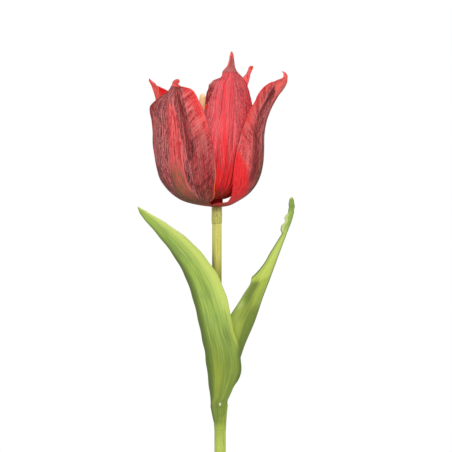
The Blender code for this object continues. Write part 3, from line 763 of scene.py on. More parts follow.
look = ((1.5, 0.8), None, (0.4, 0.1), LEAF_WIRE_RELIEF)
coating = plain("coated_green", COATING_DARK, COATING_LIGHT, *look, Specular_IOR_Level=0.4)
for name, place in (("left_leaf", left_leaf_place), ("right_leaf", right_leaf_place)):
    shares, middle = np.linspace(*LEAF_WIRE_SPAN, LEAF_WIRE_STATIONS), np.zeros(LEAF_WIRE_STATIONS)
    step = 0.01
    along = place(shares + step, middle) - place(shares - step, middle)
    across = place(shares, middle + step) - place(shares, middle - step)
    outwards = np.cross(across, along)
    outwards /= np.linalg.norm(outwards, axis=1)[:, None]
    line = place(shares, middle) - outwards * (LEAF_THICKNESS + LEAF_WIRE_RADIUS - LEAF_WIRE_SUNK)
    rib = rod(name + "_rib", line, LEAF_WIRE_RADIUS, coating, LEAF_WIRE_SIDES)
    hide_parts(name + "_wire")
    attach(rib, name)

# The core: a dark red moulding in the head. Its peg goes down the sleeve, its waist holds the petals' feet
# and the pistil and stamens stand on its disc. It is glued to the end of the wire.
CORE_ROUNDING = 0.25 * MM
CORE_RELIEF = 0.15 * MM
CORE_DARK = (132, 14, 20)
CORE_LIGHT = (190, 26, 30)

core = linked("core", frame["nodes"]["flower_core"].data.copy())
core.data.name = "core"
close_seam(core)
core.data.materials.clear()
look = ((0.8, 0.8), None, (0.4, 0.25), CORE_RELIEF)
core.data.materials.append(plain("core_red", CORE_DARK, CORE_LIGHT, *look, Specular_IOR_Level=0.35))
rounding = core.modifiers.new("Rounding", "BEVEL")
rounding.width = CORE_ROUNDING
rounding.segments = 2
rounding.limit_method = "ANGLE"
core.data.shade_smooth()
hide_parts("flower_core")
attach(core, "head")

# The six petals: thin printed cloth, pressed over a hot form so that it cups and takes a midrib and veins.
# Three outer petals overlap three inner ones, and each foot is glued round the core's waist.
PETAL_THICKNESS = 0.8 * MM
PETAL_THIN_MARGIN = 0.35
CORE_RADIUS = 3.1 * MM
PETAL_GAP = 0.3 * MM
CUP_RADIUS = 28.9 * MM
CUP_BELLY_HEIGHT = 45.0 * MM
CUP_ROUNDNESS = 4.0
CUP_SIDESTEP = -3.2 * MM
CUP_SIDESTEP_RADIUS = 16.0 * MM
CUP_SLANT = -0.03
INNER_RING_STEP = 2.6 * MM
INNER_RING_LIFT = 4.6 * MM
PETAL_FOOT_LENGTH = 9.0 * MM
PETAL_RIB = 0.45
PETAL_RIB_WIDTH = 1.8
PETAL_GROOVE = 0.35
PETAL_GROOVE_ACROSS = 3.6
PETAL_VEINS = ((0.06, 2.6, 0.0), (0.05, 4.7, 0.8))
PETAL_WAVE = 0.3
PETAL_RELIEF = 0.45 * MM
PETAL_INSIDE_RELIEF = 0.3 * MM
PETAL_CELLS_ACROSS = 110
PETAL_CELLS_ALONG = 200
PETAL_HALF_WIDTH = 24.0
DROOP_HEIGHT = 12.0 * MM

# Each petal: azimuth in degrees from the front towards +X and the tip's height. lean: how far the tip leans
# outwards, and from which height. hook: how far the last bit turns back in, and from which height.
# sweep: the midrib's sideways swing in degrees at the tip, and how late it comes. foot: the half angles of
# the petal's foot round the core, towards the left as seen from outside and towards the right.
# left and right: rows of height and half width. curl: where the tip rolls over sideways, and how tightly.
# fold: how far the left and right halves turn inwards at the tip, and from which height.
# droop: how far the foot sags, left and right.
# marks: strips along the petal. Each has the name of its mark, its softness at the sides and at the ends,
# and rows of height, left edge and right edge, as distances across from the midrib.
# The shade strips among the marks are painted shade: low on each petal's darker side, between petals and at
# the feet.
WIDE_FOOT = ((4.6, 3), (6, 8.2), (7, 10.5), (10, 14), (22, 17.5))
SLIM_FOOT = ((4.6, 2.6), (6, 7.2), (7, 9.4), (10, 13.4), (22, 17.5))
# The feet of the petals hidden at the back: an olive foot, and painted shade deep in the cup.
HIDDEN_FOOT = (("olive", 3, 12, (0, -6, 6), (12, -4, 4)), ("dusk", 4, 10, (-8, -30, 30), (8, -30, 30)))
PETALS = dict(
    outer_petal_front_left=dict(
        azimuth=-42, height=66.8, lean=(4, 30), hook=(-9.5, 52), sweep=(3.5, 5), foot=(52, 35),
        curl=(63.3, 1.65),
        left=(
            (0, 4), (1, 7.7), (2, 10.6), (2.6, 12), (4, 14.6), (7.3, 19), (18.2, 24), (24.2, 24.5),
            (41, 24.5), (48, 24), (51.5, 20.5), (52.8, 17.4), (54.6, 12.4), (56, 9.2), (58, 5.7), (60, 3),
            (61.5, 1.9), (63, 1.5), (64, 1.2), (65, 1), (66, 0.75), (66.8, 0.35),
        ),
        right=(
            (0, 2.2), (1, 5.2), (2, 6.8), (2.6, 9.5), (4, 13.4), (7.3, 17.4), (18.2, 23.1), (24.2, 23.5),
            (33.3, 23), (41.1, 21.4), (50.4, 19.1), (55.1, 16.9), (58.5, 14.4), (60.6, 11.4), (61.3, 8.9),
            (61.9, 5.5), (62.6, 3.2), (63.4, 1.6), (64.2, 1.1), (65, 0.9), (66, 0.7), (66.8, 0.3),
        ),
        marks=(
            ("band", 6, 14, (2, -1, 5), (18, -3.6, 7), (30, -1.6, 7), (48, -2, 4.5), (54, -2.6, 2)),
            ("groove", 5, 16, (24, 8.5, 12), (32, 8, 12.6), (51, 5, 8.8), (58, 2.6, 5.8), (63, 0, 3)),
            ("feather", 5, 4, (0, 9, 30), (20, 11, 30), (30, 13, 30), (51, 9.5, 30), (62, 6, 30)),
            ("feather", 4, 8, (24, -30, -19), (48, -30, -14), (56, -30, -9)),
            ("olive", 3, 16, (-10, -9, 9), (6, -7, 6), (24, -2, 4.5)),
            ("dusk", 5, 14, (-8, -30, -2), (8, -30, -6), (24, -30, -15)),
            ("dusk", 6, 20, (-8, 5, 30), (10, 8, 30), (36, 11, 26)),
            ("dusk", 4, 6, (30, -30, -20), (46, -30, -17), (60, -30, -4)),
            ("dusk", 5, 8, (-8, -30, 30), (5, -30, 30)),
            ("flush", 0.8, 4, (42, -30, -23.6), (48, -30, -23), (52, -30, -19)),
            ("tip", 1, 0.7, (62.2, -9, 3.4), (70, -9, 9)),
            ("rim", 1, 3, (56, 6, 30), (64, 3, 30)),
            ("rim", 1, 6, (-8, 8, 30), (22, 22, 30)),
        ),
    ),
    outer_petal_right=dict(
        azimuth=70, height=70.2, lean=(18.6, 34), hook=(-5.8, 65.5), sweep=(0, 4), foot=(72, 52),
        left=(
            (0, 4.4), (0.6, 9), (1.25, 11.9), (1.7, 9.6), (2.2, 6.5), (2.7, 6.9), (3.9, 8.6), (5.7, 11.2),
            (9.4, 15.2), (15, 19.1), (21.3, 20.6), (27, 20.1), (35.5, 18), (46.3, 15.7), (51.6, 15.4),
            (54.1, 15.4), (57.6, 16.2), (59.4, 16.1), (61.2, 15.5), (62.6, 14.4), (63.8, 12.6),
            (64.3, 10.1), (64.8, 7), (65.3, 4.6), (66.3, 3), (68.2, 1.9), (70.2, 0.7),
        ),
        right=(
            (0, 4), (1, 7.7), (2, 10.6), (2.7, 12.4), (3.85, 14), (6, 16), (9.4, 18.5), (15, 21),
            (21.3, 22), (36, 21), (46.3, 19), (51.6, 17.5), (57.6, 15.5), (61.2, 12.5), (64.2, 8),
            (65.6, 5), (66.8, 2.8), (68.6, 1.2), (70.2, 0.5),
        ),
        marks=(
            ("groove", 4, 14, (10, -8, 0), (36, -8, -1.4), (47, -7.4, -2.6), (55.6, -5.4, -1),
             (66, -8, -4.4)),
            ("feather", 5, 4, (16, -30, -5), (30, -30, -3.6), (47, -30, -3.6), (66, -30, -4.6)),
            ("olive", 2.5, 10, (4, 1, 9), (20, -1, 6), (30, -0.5, 4)),
            ("dusk", 6, 16, (-3, -3, 30), (8, 1, 30), (18, 1, 30), (42, 2, 30)),
            ("dusk", 5, 4, (-8, -8, 30), (3, 0, 30)),
            ("flush", 7, 14, (1, -14, 4), (8, -18, -2), (15, -21, -8), (21, -23, -13), (30, -24, -18)),
            ("tip", 3, 6, (50, 0, 2), (57, 0, 6), (61, -3, 8), (63.5, -7.5, 8), (66, -8, 6), (74, -6, 6)),
            ("tip", 1.8, 12, (36, 0.4, 1.8), (52, -0.4, 2.2)),
        ),
    ),
    outer_petal_back=dict(
        azimuth=206, height=58, lean=(-2, 45), hook=(0, 50), sweep=(0, 2), foot=(52, 52),
        left=(
            (0, 3), (1, 5.9), (2, 8.2), (4, 10.5), (6, 13), (10, 17), (20, 21.5), (34, 22.5), (44, 19),
            (50, 13.5), (54, 6), (58, 0.8),
        ),
        right=(
            (0, 4), (1, 7.4), (2, 10.2), (4, 14), (6, 16.5), (10, 19), (20, 22), (34, 22.5), (44, 19),
            (50, 13.5), (54, 6), (58, 0.8),
        ),
        marks=(
            ("band", 1.4, 3, (6, -3, 3), (20, -4, 5), (40, -3, 4), (53, -1.5, 1.5)),
            ("groove", 3, 10, (16, 6.5, 10), (40, 5, 9), (50, 2.5, 5.5)),
            ("feather", 3, 4, (0, 8, 30), (54, 6, 30)),
            ("olive", 3, 16, (-8, -8, 8), (6, -6, 6), (22, -3, 4)),
            ("dusk", 5, 14, (-8, -30, -2), (8, -30, -6), (24, -30, -15)),
            ("dusk", 5, 16, (-8, 6, 30), (18, 10, 30)),
            ("tip", 2, 7, (54.5, -5, 5), (64, -5, 5)),
        ),
    ),
    inner_petal_front=dict(
        azimuth=16, height=80.3, lean=(-3, 45), hook=(0, 75), sweep=(18, 2), foot=(52, 52),
        droop=(1.9, 0.7),
        left=(
            *WIDE_FOOT, (38, 16.5), (46, 13), (52, 12.2), (55.2, 12.3), (59, 12), (60.8, 11.3), (63, 11.2),
            (64.1, 10), (65.3, 9), (66, 6.8), (66.9, 4.9), (68.3, 4.4), (69.7, 4.3), (71.1, 3.1),
            (72.5, 1.8), (74.9, 1.0), (76.4, 0.75), (78.2, 0.5), (79.5, 0.3), (80.3, 0.15),
        ),
        right=(
            *WIDE_FOOT, (38, 18.5), (46, 18.5), (54.1, 17.1), (59.5, 14.6), (63.4, 11.5), (65.5, 9.7),
            (67.4, 7.2), (69.2, 4.9), (70.7, 3.7), (72.5, 2.55), (74.9, 1.75), (76.4, 1.15), (78.2, 0.75),
            (79.5, 0.4), (80.3, 0.15),
        ),
        marks=(
            ("band", 1.6, 0.7, (2, -7, 9), (30, -7.8, 6.5), (50, -7.8, 4.6), (60, -6.4, 3), (69.4, -4, 1.7)),
            ("flush", 3, 12, (16, 0.8, 2.6), (30, -1, 1), (48, -2.6, -1), (60, -3.4, -1.8), (66, -4, -2.6)),
            ("flush", 8, 24, (-12, -11, 14), (20, -11, 12)),
            ("flush", 2, 6, (42, 17.5, 30), (54, 15.8, 30), (60, 13.4, 30), (66, 8.6, 30)),
            ("flush", 0.8, 2, (50.5, -16, -10.4), (54, -16, -11)),
            ("glow", 2, 2, (-8, -30, 30), (69.4, -30, 30)),
            ("roll", 1.2, 4, (52, -15, -11.4), (56, -15, -9.8), (59, -14, -9), (64, -12, -7.6),
             (68, -6, -3.9)),
            ("tip", 1, 0.7, (77.7, -4, 4), (90, -4, 4)),
            ("dusk", 1.5, 4, (32, -30, -11.4), (50, -30, -10.9)),
            ("dusk", 4, 8, (-8, -30, 30), (9, -30, 30)),
        ),
    ),
    inner_petal_back_right=dict(
        azimuth=160, height=73.8, lean=(2, 48), hook=(0, 70), sweep=(-36.5, 2.8), foot=(52, 44),
        fold=(-45, 45, 58),
        left=(
            *WIDE_FOOT, (38, 18), (48, 13), (56, 7), (61, 3.4), (64.1, 1.9), (66.9, 1.3), (68.4, 0.95),
            (69.9, 0.5), (71.4, 0.5), (72.8, 0.85), (73.4, 0.75), (73.8, 0.3),
        ),
        right=(
            *SLIM_FOOT, (38, 18), (48, 16), (56, 11), (61, 6.4), (64.5, 3.2), (66.9, 1.6), (68.4, 0.6),
            (69.9, 0.2), (71.4, 0.2), (72.8, 0.85), (73.4, 0.75), (73.8, 0.3),
        ),
        marks=(
            ("band", 1.2, 3, (8, -4, 4), (30, -4, 4), (60, -2, 2)),
            ("groove", 3, 10, (20, 5, 8), (50, 3.5, 6.5)),
            ("feather", 3, 4, (6, 8, 30), (56, 4, 30)),
            ("tip", 1, 9, (62, -9, 9), (90, -9, 9)),
            *HIDDEN_FOOT,
        ),
    ),
    inner_petal_left=dict(
        azimuth=-102, height=66.9, lean=(4.6, 46), hook=(0, 60), sweep=(0, 2), foot=(44, 52),
        fold=(0, 62, 48),
        left=(
            *SLIM_FOOT, (36, 17.5), (47, 16.5), (57.4, 17), (59.4, 17), (60.6, 16), (61.4, 14.2),
            (62.6, 9.8), (63.4, 5.4), (64.4, 2.3), (65.7, 1), (66.9, 0.25),
        ),
        right=(
            *WIDE_FOOT, (36, 17), (46, 11), (52, 5), (54, 3.2), (57.2, 2), (59, 2.4), (60.8, 3),
            (62.1, 3.2), (64.1, 1.5), (66, 0.6), (66.9, 0.25),
        ),
        marks=(
            ("band", 1.2, 3, (8, -4, 4), (30, -4, 4), (48, -3, 3)),
            ("groove", 3, 10, (20, 5, 8), (44, 4, 7)),
            ("feather", 3, 4, (6, 8, 30), (50, 5, 30)),
            ("tip", 2, 10, (50, 0.6, 20), (60, 0, 20), (62.5, -3, 20), (64.5, -20, 20), (90, -9, 9)),
            *HIDDEN_FOOT,
        ),
    ),
)
PETAL_MARKS = ("band", "groove", "feather", "olive", "dusk", "tip", "rim", "flush", "glow", "roll")

head_axis = joint_place("head_turn")


def cup_radius(height, ring_step, ring_lift):
    """The cup's radius at a height above the head's base: a full, flat-bottomed bowl."""
    share = np.clip((height - ring_lift) / (CUP_BELLY_HEIGHT - ring_lift), 0.0, 1.0)
    return (CUP_RADIUS - ring_step) * np.sqrt(1 - (1 - share) ** CUP_ROUNDNESS)


def foot_height(radius, ring_step, ring_lift):
    """The height at which the cup has this radius."""
    share = 1 - (1 - (radius / (CUP_RADIUS - ring_step)) ** 2) ** (1 / CUP_ROUNDNESS)
    return ring_lift + share * (CUP_BELLY_HEIGHT - ring_lift)


def petal_place(petal, ring_step, ring_lift):
    """Returns place(u, s) for one petal of a ring."""
    tip = petal["height"] * MM
    lean, lean_start = (value * MM for value in petal["lean"])
    hook, hook_start = (value * MM for value in petal["hook"])
    sweep, lateness = petal["sweep"]
    lefts, rights = (np.array(petal[side]).T * MM for side in ("left", "right"))
    curl_start, curl_radius = (value * MM for value in petal.get("curl", (petal["height"], 1)))
    fold_left, fold_right, fold_start = petal.get("fold", (0, 0, 0))
    droop_left, droop_right = petal.get("droop", (0, 0))
    foot = foot_height(CORE_RADIUS + PETAL_GAP, ring_step, ring_lift)

    def place(u, s):
        height = foot + (tip - foot) * (1 - np.cos(np.pi * u)) / 2
        level = np.minimum(height, curl_start)
        bowl_radius = cup_radius(level, ring_step, ring_lift)
        off_core = (bowl_radius - CORE_RADIUS) / (CUP_SIDESTEP_RADIUS - CORE_RADIUS)
        radius = bowl_radius + lean * (np.maximum(level - lean_start, 0) / (tip - lean_start)) ** 2
        radius += hook * (np.maximum(level - hook_start, 0) / (tip - hook_start)) ** 2
        half = np.where(s < 0, smooth_read(height, *lefts), smooth_read(height, *rights))
        foot_angle = np.radians(np.where(s < 0, *petal["foot"]))
        off_foot = smooth_step((bowl_radius - CORE_RADIUS) / PETAL_FOOT_LENGTH)
        half_angle = foot_angle * (1 - off_foot) + half / radius * off_foot
        swing = np.radians(petal["azimuth"] + sweep * (height / tip) ** lateness)
        middle = CUP_SIDESTEP * smooth_step(off_core) + CUP_SLANT * (level - foot)
        rib_x, rib_y = middle + radius * np.sin(swing), -radius * np.cos(swing)
        reach_x = middle + radius * np.sin(swing + s * half_angle) - rib_x
        reach_y = -radius * np.cos(swing + s * half_angle) - rib_y
        turn = np.radians(np.where(s < 0, -fold_left, fold_right))
        turn = turn * smooth_step((height - fold_start * MM) / (tip - fold_start * MM) * 2)
        x = rib_x + reach_x * np.cos(turn) - reach_y * np.sin(turn)
        y = rib_y + reach_x * np.sin(turn) + reach_y * np.cos(turn)
        droop = droop_left + (droop_right - droop_left) * (s + 1) / 2
        sag = droop * (1 - smooth_step((height - foot) / DROOP_HEIGHT))
        roll = (height - level) / curl_radius
        arm = curl_radius - (x - rib_x)
        x = np.where(roll > 0, rib_x + curl_radius - arm * np.cos(roll), x)
        z = np.where(roll > 0, curl_start + arm * np.sin(roll), height) - sag * MM
        return np.stack([head_axis.x + x, y, head_axis.z + z], axis=1)

    return place


def strip_mask(height, across, side_softness, end_softness, *rows):
    """1 inside a strip along the petal and 0 outside it, with soft sides and ends."""
    heights, lefts, rights = np.array(rows, float).T
    left, right = smooth_read(height, heights, lefts), smooth_read(height, heights, rights)
    past_left, past_right = (across - left) / side_softness, (right - across) / side_softness
    inside = smooth_step(past_left + 0.5) * smooth_step(past_right + 0.5)
    ends = smooth_step((height - heights[0]) / end_softness + 0.5)
    return inside * ends * smooth_step((heights[-1] - height) / end_softness + 0.5)


BROWN_MAUVE = (96, 38, 42)
ROSE_MAUVE = (226, 128, 124)
PALE_FLECK = (226, 150, 146)
BURGUNDY = (108, 30, 32)
WARM_PINK = (240, 108, 108)
WARM_RED = (206, 52, 56)
GLOW_RED = (238, 88, 98)
GLOW_PINK = (255, 120, 130)
DEEP_RED = (226, 10, 32)
BLUSH_RED = (248, 50, 50)
GROOVE_PINK = (160, 60, 62)
KHAKI = (120, 92, 52)
SHADE_BROWN = (72, 20, 20)
SHADE_OLIVE = (78, 44, 22)
ROLL_RED = (122, 18, 24)
ROLL_FLECK = (214, 116, 110)
TIP_PINK = (255, 112, 104)
ORANGE_RIM = (246, 104, 54)
FOOT_BROWN = (152, 58, 38)
INSIDE_RED = (226, 10, 18)
INSIDE_DARK = (158, 6, 14)


def petal_cloth():
    finish = Finish("petal_cloth", Specular_IOR_Level=0.12)
    grain, mark, coats = finish.grain, finish.mark, finish.coats
    fan, along, across, height, edge = map(mark, ("fan", "along", "across", "height", "edge"))
    glow, feather, olive = mark("glow"), mark("feather"), mark("olive")
    broad = grain(fan * 0.35, along * 0.05)
    streaks = grain(fan * 1.35, along * 0.08)
    threads = grain(fan * 2.7, along * 0.3)
    strokes = grain(fan * 1.05, along * 0.02, 11.0)
    flecks = grain(fan * 1.8, along * 0.8, 4.0)
    lines = streaks * 0.5 + threads * 0.5
    slant = along - abs(across)
    barbs = grain(slant * 1.35, across * 0.12, 7.0) * 0.55 + grain(slant * 2.6, across * 0.35, 3.0) * 0.45
    patches = grain(slant * 0.3, across * 0.09, 5.0)
    pressed = lines * (1 - feather) + barbs * feather

    fibres = coats(
        BROWN_MAUVE,
        (ROSE_MAUVE, lines.rise(0.42, 0.6)),
        (WARM_RED, broad.rise(0.48, 0.66) * 0.3),
        (GLOW_RED, glow * (0.4 + lines.rise(0.42, 0.56) * 0.3)),
        (ROSE_MAUVE, height.rise(69.2, 70.5) * 0.6),
        (PALE_FLECK, flecks.rise(0.55, 0.66) * 0.45),
        (BROWN_MAUVE, flecks.rise(0.45, 0.34) * 0.55),
    )
    feathers = coats(
        BROWN_MAUVE,
        (WARM_RED, barbs.rise(0.36, 0.5)),
        (WARM_PINK, barbs.rise(0.47, 0.6) * 0.85),
        (ROSE_MAUVE, broad.rise(0.44, 0.6) * 0.5),
        (BURGUNDY, patches.rise(0.46, 0.38) * height.rise(30, 44) * 0.55),
        (ROSE_MAUVE, patches.rise(0.5, 0.6) * height.rise(30, 48) * 0.75),
        (PALE_FLECK, flecks.rise(0.55, 0.66) * 0.5),
        (BLUSH_RED, edge.rise(7, 1) * height.rise(30, 50) * 0.5),
    )
    band = coats(
        WARM_RED,
        (WARM_PINK, lines.rise(0.42, 0.6)),
        (BURGUNDY, threads.rise(0.42, 0.3) * 0.5),
        (ROSE_MAUVE, lines.rise(0.5, 0.64) * (1 - glow) * 0.6),
        (BROWN_MAUVE, lines.rise(0.44, 0.36) * (1 - glow) * 0.5),
        (ROSE_MAUVE, height.rise(32, 14) * (1 - glow) * 0.35),
        (GLOW_PINK, glow * height.rise(16, 50) * 0.4),
        (DEEP_RED, strokes.rise(0.46, 0.38) * glow * 0.8),
        (BURGUNDY, strokes.rise(0.54, 0.6) * (0.3 + glow * 0.35)),
    )
    flush = coats(
        DEEP_RED,
        (BLUSH_RED, lines.rise(0.38, 0.6)),
        (BURGUNDY, strokes.rise(0.58, 0.62) * glow * 0.6),
        (GLOW_PINK, glow * height.rise(30, 50) * 0.22),
        (INSIDE_RED, glow * edge.rise(3.5, 1.8) * 0.9),
    )
    # The groove's dark burgundy is painted shade in the crease beside the midrib, with pink fibres through
    # it.
    groove = coats(BURGUNDY, (GROOVE_PINK, lines.rise(0.44, 0.62)))
    roll = coats(ROLL_RED, (ROLL_FLECK, flecks.rise(0.5, 0.68)), (ROSE_MAUVE, height.rise(61, 64.5) * 0.55))
    # Painted shade, laid where the cup's shade falls: dark brown, turning olive-brown near the foot.
    dusk = coats(SHADE_BROWN, (SHADE_OLIVE, height.rise(14, 4)))
    tip = coats(TIP_PINK, (WARM_RED, lines.rise(0.46, 0.3)))

    def reach(name, breakup, share, fade=0.22):
        """How far a colour shows where its mark is, with the mark's edge broken up by the fibres."""
        return (mark(name) + (pressed - 0.5) * breakup).rise(0.5 - fade, 0.5 + fade) * share

    groove_gaps = barbs.rise(0.48, 0.62) * feather
    olive_reach = (olive * 0.6 + (lines - 0.5) * 3.5).rise(0.4, 0.7)
    # How dark the painted shade lies: darker near the foot and in the dark fibres.
    shade_share = 0.3 + height.rise(20, 6) * 0.22 + lines.rise(0.6, 0.4) * 0.4
    colour = coats(
        fibres,
        (feathers, (feather + (threads - 0.5) * 1.5).rise(0.3, 0.7)),
        (band, reach("band", 2.2, 1.0)),
        # painted shade in the crease, broken by the feathers
        (groove, mark("groove") * (0.95 - groove_gaps * 0.6)),
        (flush, reach("flush", 2.8, 0.88, 0.42)),
        (roll, reach("roll", 1.0, 0.9)),
        (KHAKI, olive_reach * olive * 0.9),
        # painted shade
        (dusk, mark("dusk") * shade_share),
        (tip, reach("tip", 1.3, 0.95)),
        (ORANGE_RIM, (edge + (threads - 0.5) * 0.4).rise(0.6, 0.2) * mark("rim")),
        (FOOT_BROWN, height.rise(2.6, 0.8) * 0.85),
    )
    return finish.wear(colour, 0.5 + threads * 0.25, pressed, PETAL_RELIEF)


def petal_inside():
    finish = Finish("petal_inside", Specular_IOR_Level=0.2, Emission_Strength=0.12)
    fan, along, height = map(finish.mark, ("fan", "along", "height"))
    threads = finish.grain(fan * 2.6, along * 0.25)
    lines = finish.grain(fan * 1.3, along * 0.07) * 0.6 + threads * 0.4
    bead = height.rise(70, 73) * height.rise(76, 74)
    tips = finish.coats(GLOW_PINK, (TIP_PINK, lines), (ORANGE_RIM, bead * 0.7))
    reach = (height + (lines - 0.5) * 9).rise(62.4, 66)
    colour = finish.coats(INSIDE_RED, (INSIDE_DARK, lines.rise(0.5, 0.7)), (tips, reach))
    # The inside face glows faintly in its own colour, a painted light that keeps it red in the cup's shade.
    finish.feed(finish.shader.inputs["Emission Color"], colour)
    return finish.wear(colour, 0.42 + threads * 0.2, lines, PETAL_INSIDE_RELIEF)


petal_skins = [petal_cloth(), petal_inside()]


def petal_relief(across, along, height, edge, s, u, marks):
    """The pressed form in millimetres: a midrib between two grooves, fine veins and a wavy margin."""
    calm = ramp(height, 4, 18) * smooth_step((1 - u) / 0.1)
    grooves = sum(ridge(across, side * PETAL_GROOVE_ACROSS, PETAL_RIB_WIDTH) for side in (-1, 1))
    rib = PETAL_RIB * ridge(across, 0, PETAL_RIB_WIDTH) - PETAL_GROOVE * grooves
    veins = sum(depth * np.sin(s * PETAL_HALF_WIDTH * pitch + shift) for depth, pitch, shift in PETAL_VEINS)
    wave = PETAL_WAVE * np.sin(along * 0.33 + 2.0 * s) * ramp(edge, 4, 0)
    return (rib + veins + wave - marks["groove"]) * calm + 0.5 * marks["roll"] * np.sin(along * 1.1)


for name, petal in PETALS.items():
    outer = name.startswith("outer")
    place = petal_place(petal, 0.0 if outer else INNER_RING_STEP, 0.0 if outer else INNER_RING_LIFT)
    cloth = grown(name + "_cloth", PETAL_CELLS_ACROSS, PETAL_CELLS_ALONG, place, *petal_skins)
    u, s, places, facing = grid_of(cloth, PETAL_CELLS_ACROSS)
    across, along, edge = sheet_lengths(places, PETAL_CELLS_ACROSS)
    height = (places[:, 2] - head_axis.z) / MM
    marks = {mark: np.zeros(len(s)) for mark in PETAL_MARKS}
    for mark, *strip in petal["marks"]:
        marks[mark] = np.maximum(marks[mark], strip_mask(height, across, *strip))
    press(cloth, places, facing, petal_relief(across, along, height, edge, s, u, marks))
    add_marks(cloth, fan=s * PETAL_HALF_WIDTH, along=along, across=across, height=height, edge=edge, **marks)
    half_width = edge.reshape(-1, PETAL_CELLS_ACROSS + 1).max(axis=1).repeat(PETAL_CELLS_ACROSS + 1)
    weights = np.maximum(smooth_step(edge / 4), smooth_step((5 - half_width) / 4))
    weights *= smooth_step((petal["height"] - height + 0.6) / 3.6)
    thicken(cloth, PETAL_THICKNESS, weights, PETAL_THIN_MARGIN).material_offset = 1
    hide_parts(name)
    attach(cloth, "head")

# The pistil: a pale green moulded column with three rounded sides, pressed onto the middle of the disc,
# and its stigma, a cream cap of three lobes that is glued on top.
PISTIL_SIDES = 3
PISTIL_CELLS = 60
PISTIL_PROFILE = ((0, 0.02), (0.02, 0.8), (0.2, 1), (0.8, 0.95), (0.97, 0.8), (1, 0.02))
STIGMA_PROFILE = ((0, 0.02), (0.15, 0.7), (0.55, 1), (0.9, 0.8), (1, 0.02))
MOULDING_FADES = (0.35, 0.65)
MOULDING_ROUGHNESS = (0.5, 0.2)
PISTIL_LOBES = 0.16
STIGMA_LOBES = 0.45
PISTIL_DARK = (146, 168, 88)
PISTIL_LIGHT = (182, 200, 122)
STIGMA_DARK = (208, 186, 118)
STIGMA_LIGHT = (238, 222, 168)


def lobed_place(node, lobes, depth, profile):
    """Returns place(u, s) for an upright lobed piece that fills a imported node's box."""
    low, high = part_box(node)
    middle = ((low.x + high.x) / 2, (low.y + high.y) / 2)
    radius = min(high.x - low.x, high.y - low.y) / 2

    def place(u, s):
        shares, radii = np.array(profile).T
        swell = 1 - depth * (1 - np.cos(lobes * np.pi * s)) / 2
        return rolled(radius * smooth_read(u, shares, radii) * swell, low.z + (high.z - low.z) * u, s, middle)

    return place


# Each moulding: its profile, the depth of its lobes, its material and its relief in millimetres.
looks = {
    "pistil": (PISTIL_PROFILE, PISTIL_LOBES, ("pistil_green", PISTIL_DARK, PISTIL_LIGHT, (0.8, 0.8)), 0.15),
    "stigma": (STIGMA_PROFILE, STIGMA_LOBES, ("stigma_cream", STIGMA_DARK, STIGMA_LIGHT, (2.0, 2.0)), 0.3),
}
for name, (profile, lobes_depth, colours, relief) in looks.items():
    place = lobed_place(name, PISTIL_SIDES, lobes_depth, profile)
    material = plain(*colours, MOULDING_FADES, MOULDING_ROUGHNESS, relief * MM, Specular_IOR_Level=0.3)
    piece = grown(name + "_moulding", STEM_CELLS_AROUND, PISTIL_CELLS, place, material)
    close_seam(piece, fill_ends=True)
    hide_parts(name)
    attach(piece, "head")

# The six stamens: a pale filament, a thin moulded rod glued into the disc, and on it an anther, a grain of
# cream plastic with a furrow down each side and a dusty, powdered face.
STAMEN_COUNT = 6
END_DEPTH = 0.15 * MM
FILAMENT_RADIUS = 0.65 * MM
ANTHER_RADIUS = 2.3 * MM
ANTHER_FURROWS = 2
ANTHER_CELLS = 48
ANTHER_PROFILE = ((0, 0.02), (0.03, 0.45), (0.18, 0.86), (0.45, 1), (0.8, 0.85), (0.94, 0.55), (1, 0.02))
FILAMENT_DARK = (196, 196, 116)
FILAMENT_LIGHT = (232, 226, 160)
FILAMENT_STATIONS = 12
ANTHER_CREAM = (255, 252, 222)
ANTHER_GOLD = (254, 228, 158)
STAMEN_RELIEF = 0.05 * MM


def ends_of(node):
    """The middle of a standing piece's bottom end and the middle of its top end."""
    places = np.array([vert.co for vert in frame["nodes"][node].data.vertices])
    heights = places[:, 2]
    bottom = places[heights < heights.min() + END_DEPTH].mean(axis=0)
    top = places[heights > heights.max() - END_DEPTH].mean(axis=0)
    return Vector(bottom), Vector(top)


def anther_place(bottom, top):
    axis = top - bottom
    turn = Vector((0, 0, 1)).rotation_difference(axis.normalized()).to_matrix()

    def place(u, s):
        shares, radii = np.array(ANTHER_PROFILE).T
        furrow = 1 - 0.22 * np.exp(-((np.cos(ANTHER_FURROWS * np.pi * s / 2) / 0.25) ** 2))
        around = rolled(ANTHER_RADIUS * smooth_read(u, shares, radii) * furrow, axis.length * u, s)
        return around @ np.array(turn).T + np.array(bottom)

    return place


def anther_dust():
    finish = Finish("anther_dust", Specular_IOR_Level=0.15)
    x, y, z = finish.place()
    dust = finish.grain(x * 3, y * 3, z * 3)
    clouds = finish.grain(x * 0.3, y * 0.3, z * 0.15)
    colour = finish.coats(ANTHER_CREAM, (ANTHER_GOLD, (clouds + (dust - 0.5) * 0.4).rise(0.36, 0.6)))
    return finish.wear(colour, 0.7 + dust * 0.2, dust, STAMEN_RELIEF)


look = ((1, 1), MOULDING_FADES, MOULDING_ROUGHNESS, STAMEN_RELIEF)
pale = plain("filament_pale", FILAMENT_DARK, FILAMENT_LIGHT, *look, Specular_IOR_Level=0.3)
dusty = anther_dust()
for number in range(1, STAMEN_COUNT + 1):
    foot, head = ends_of(f"filament_{number}")
    line = [foot.lerp(head, share) for share in np.linspace(0, 1, FILAMENT_STATIONS)]
    stalk = rod(f"stalk_{number}", line, FILAMENT_RADIUS, pale)
    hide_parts(f"filament_{number}")
    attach(stalk, "head")
    place = anther_place(*ends_of(f"anther_{number}"))
    grain = grown(f"anther_grain_{number}", ANTHER_CELLS, ANTHER_CELLS, place, dusty)
    close_seam(grain, fill_ends=True)
    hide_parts(f"anther_{number}")
    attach(grain, "head")

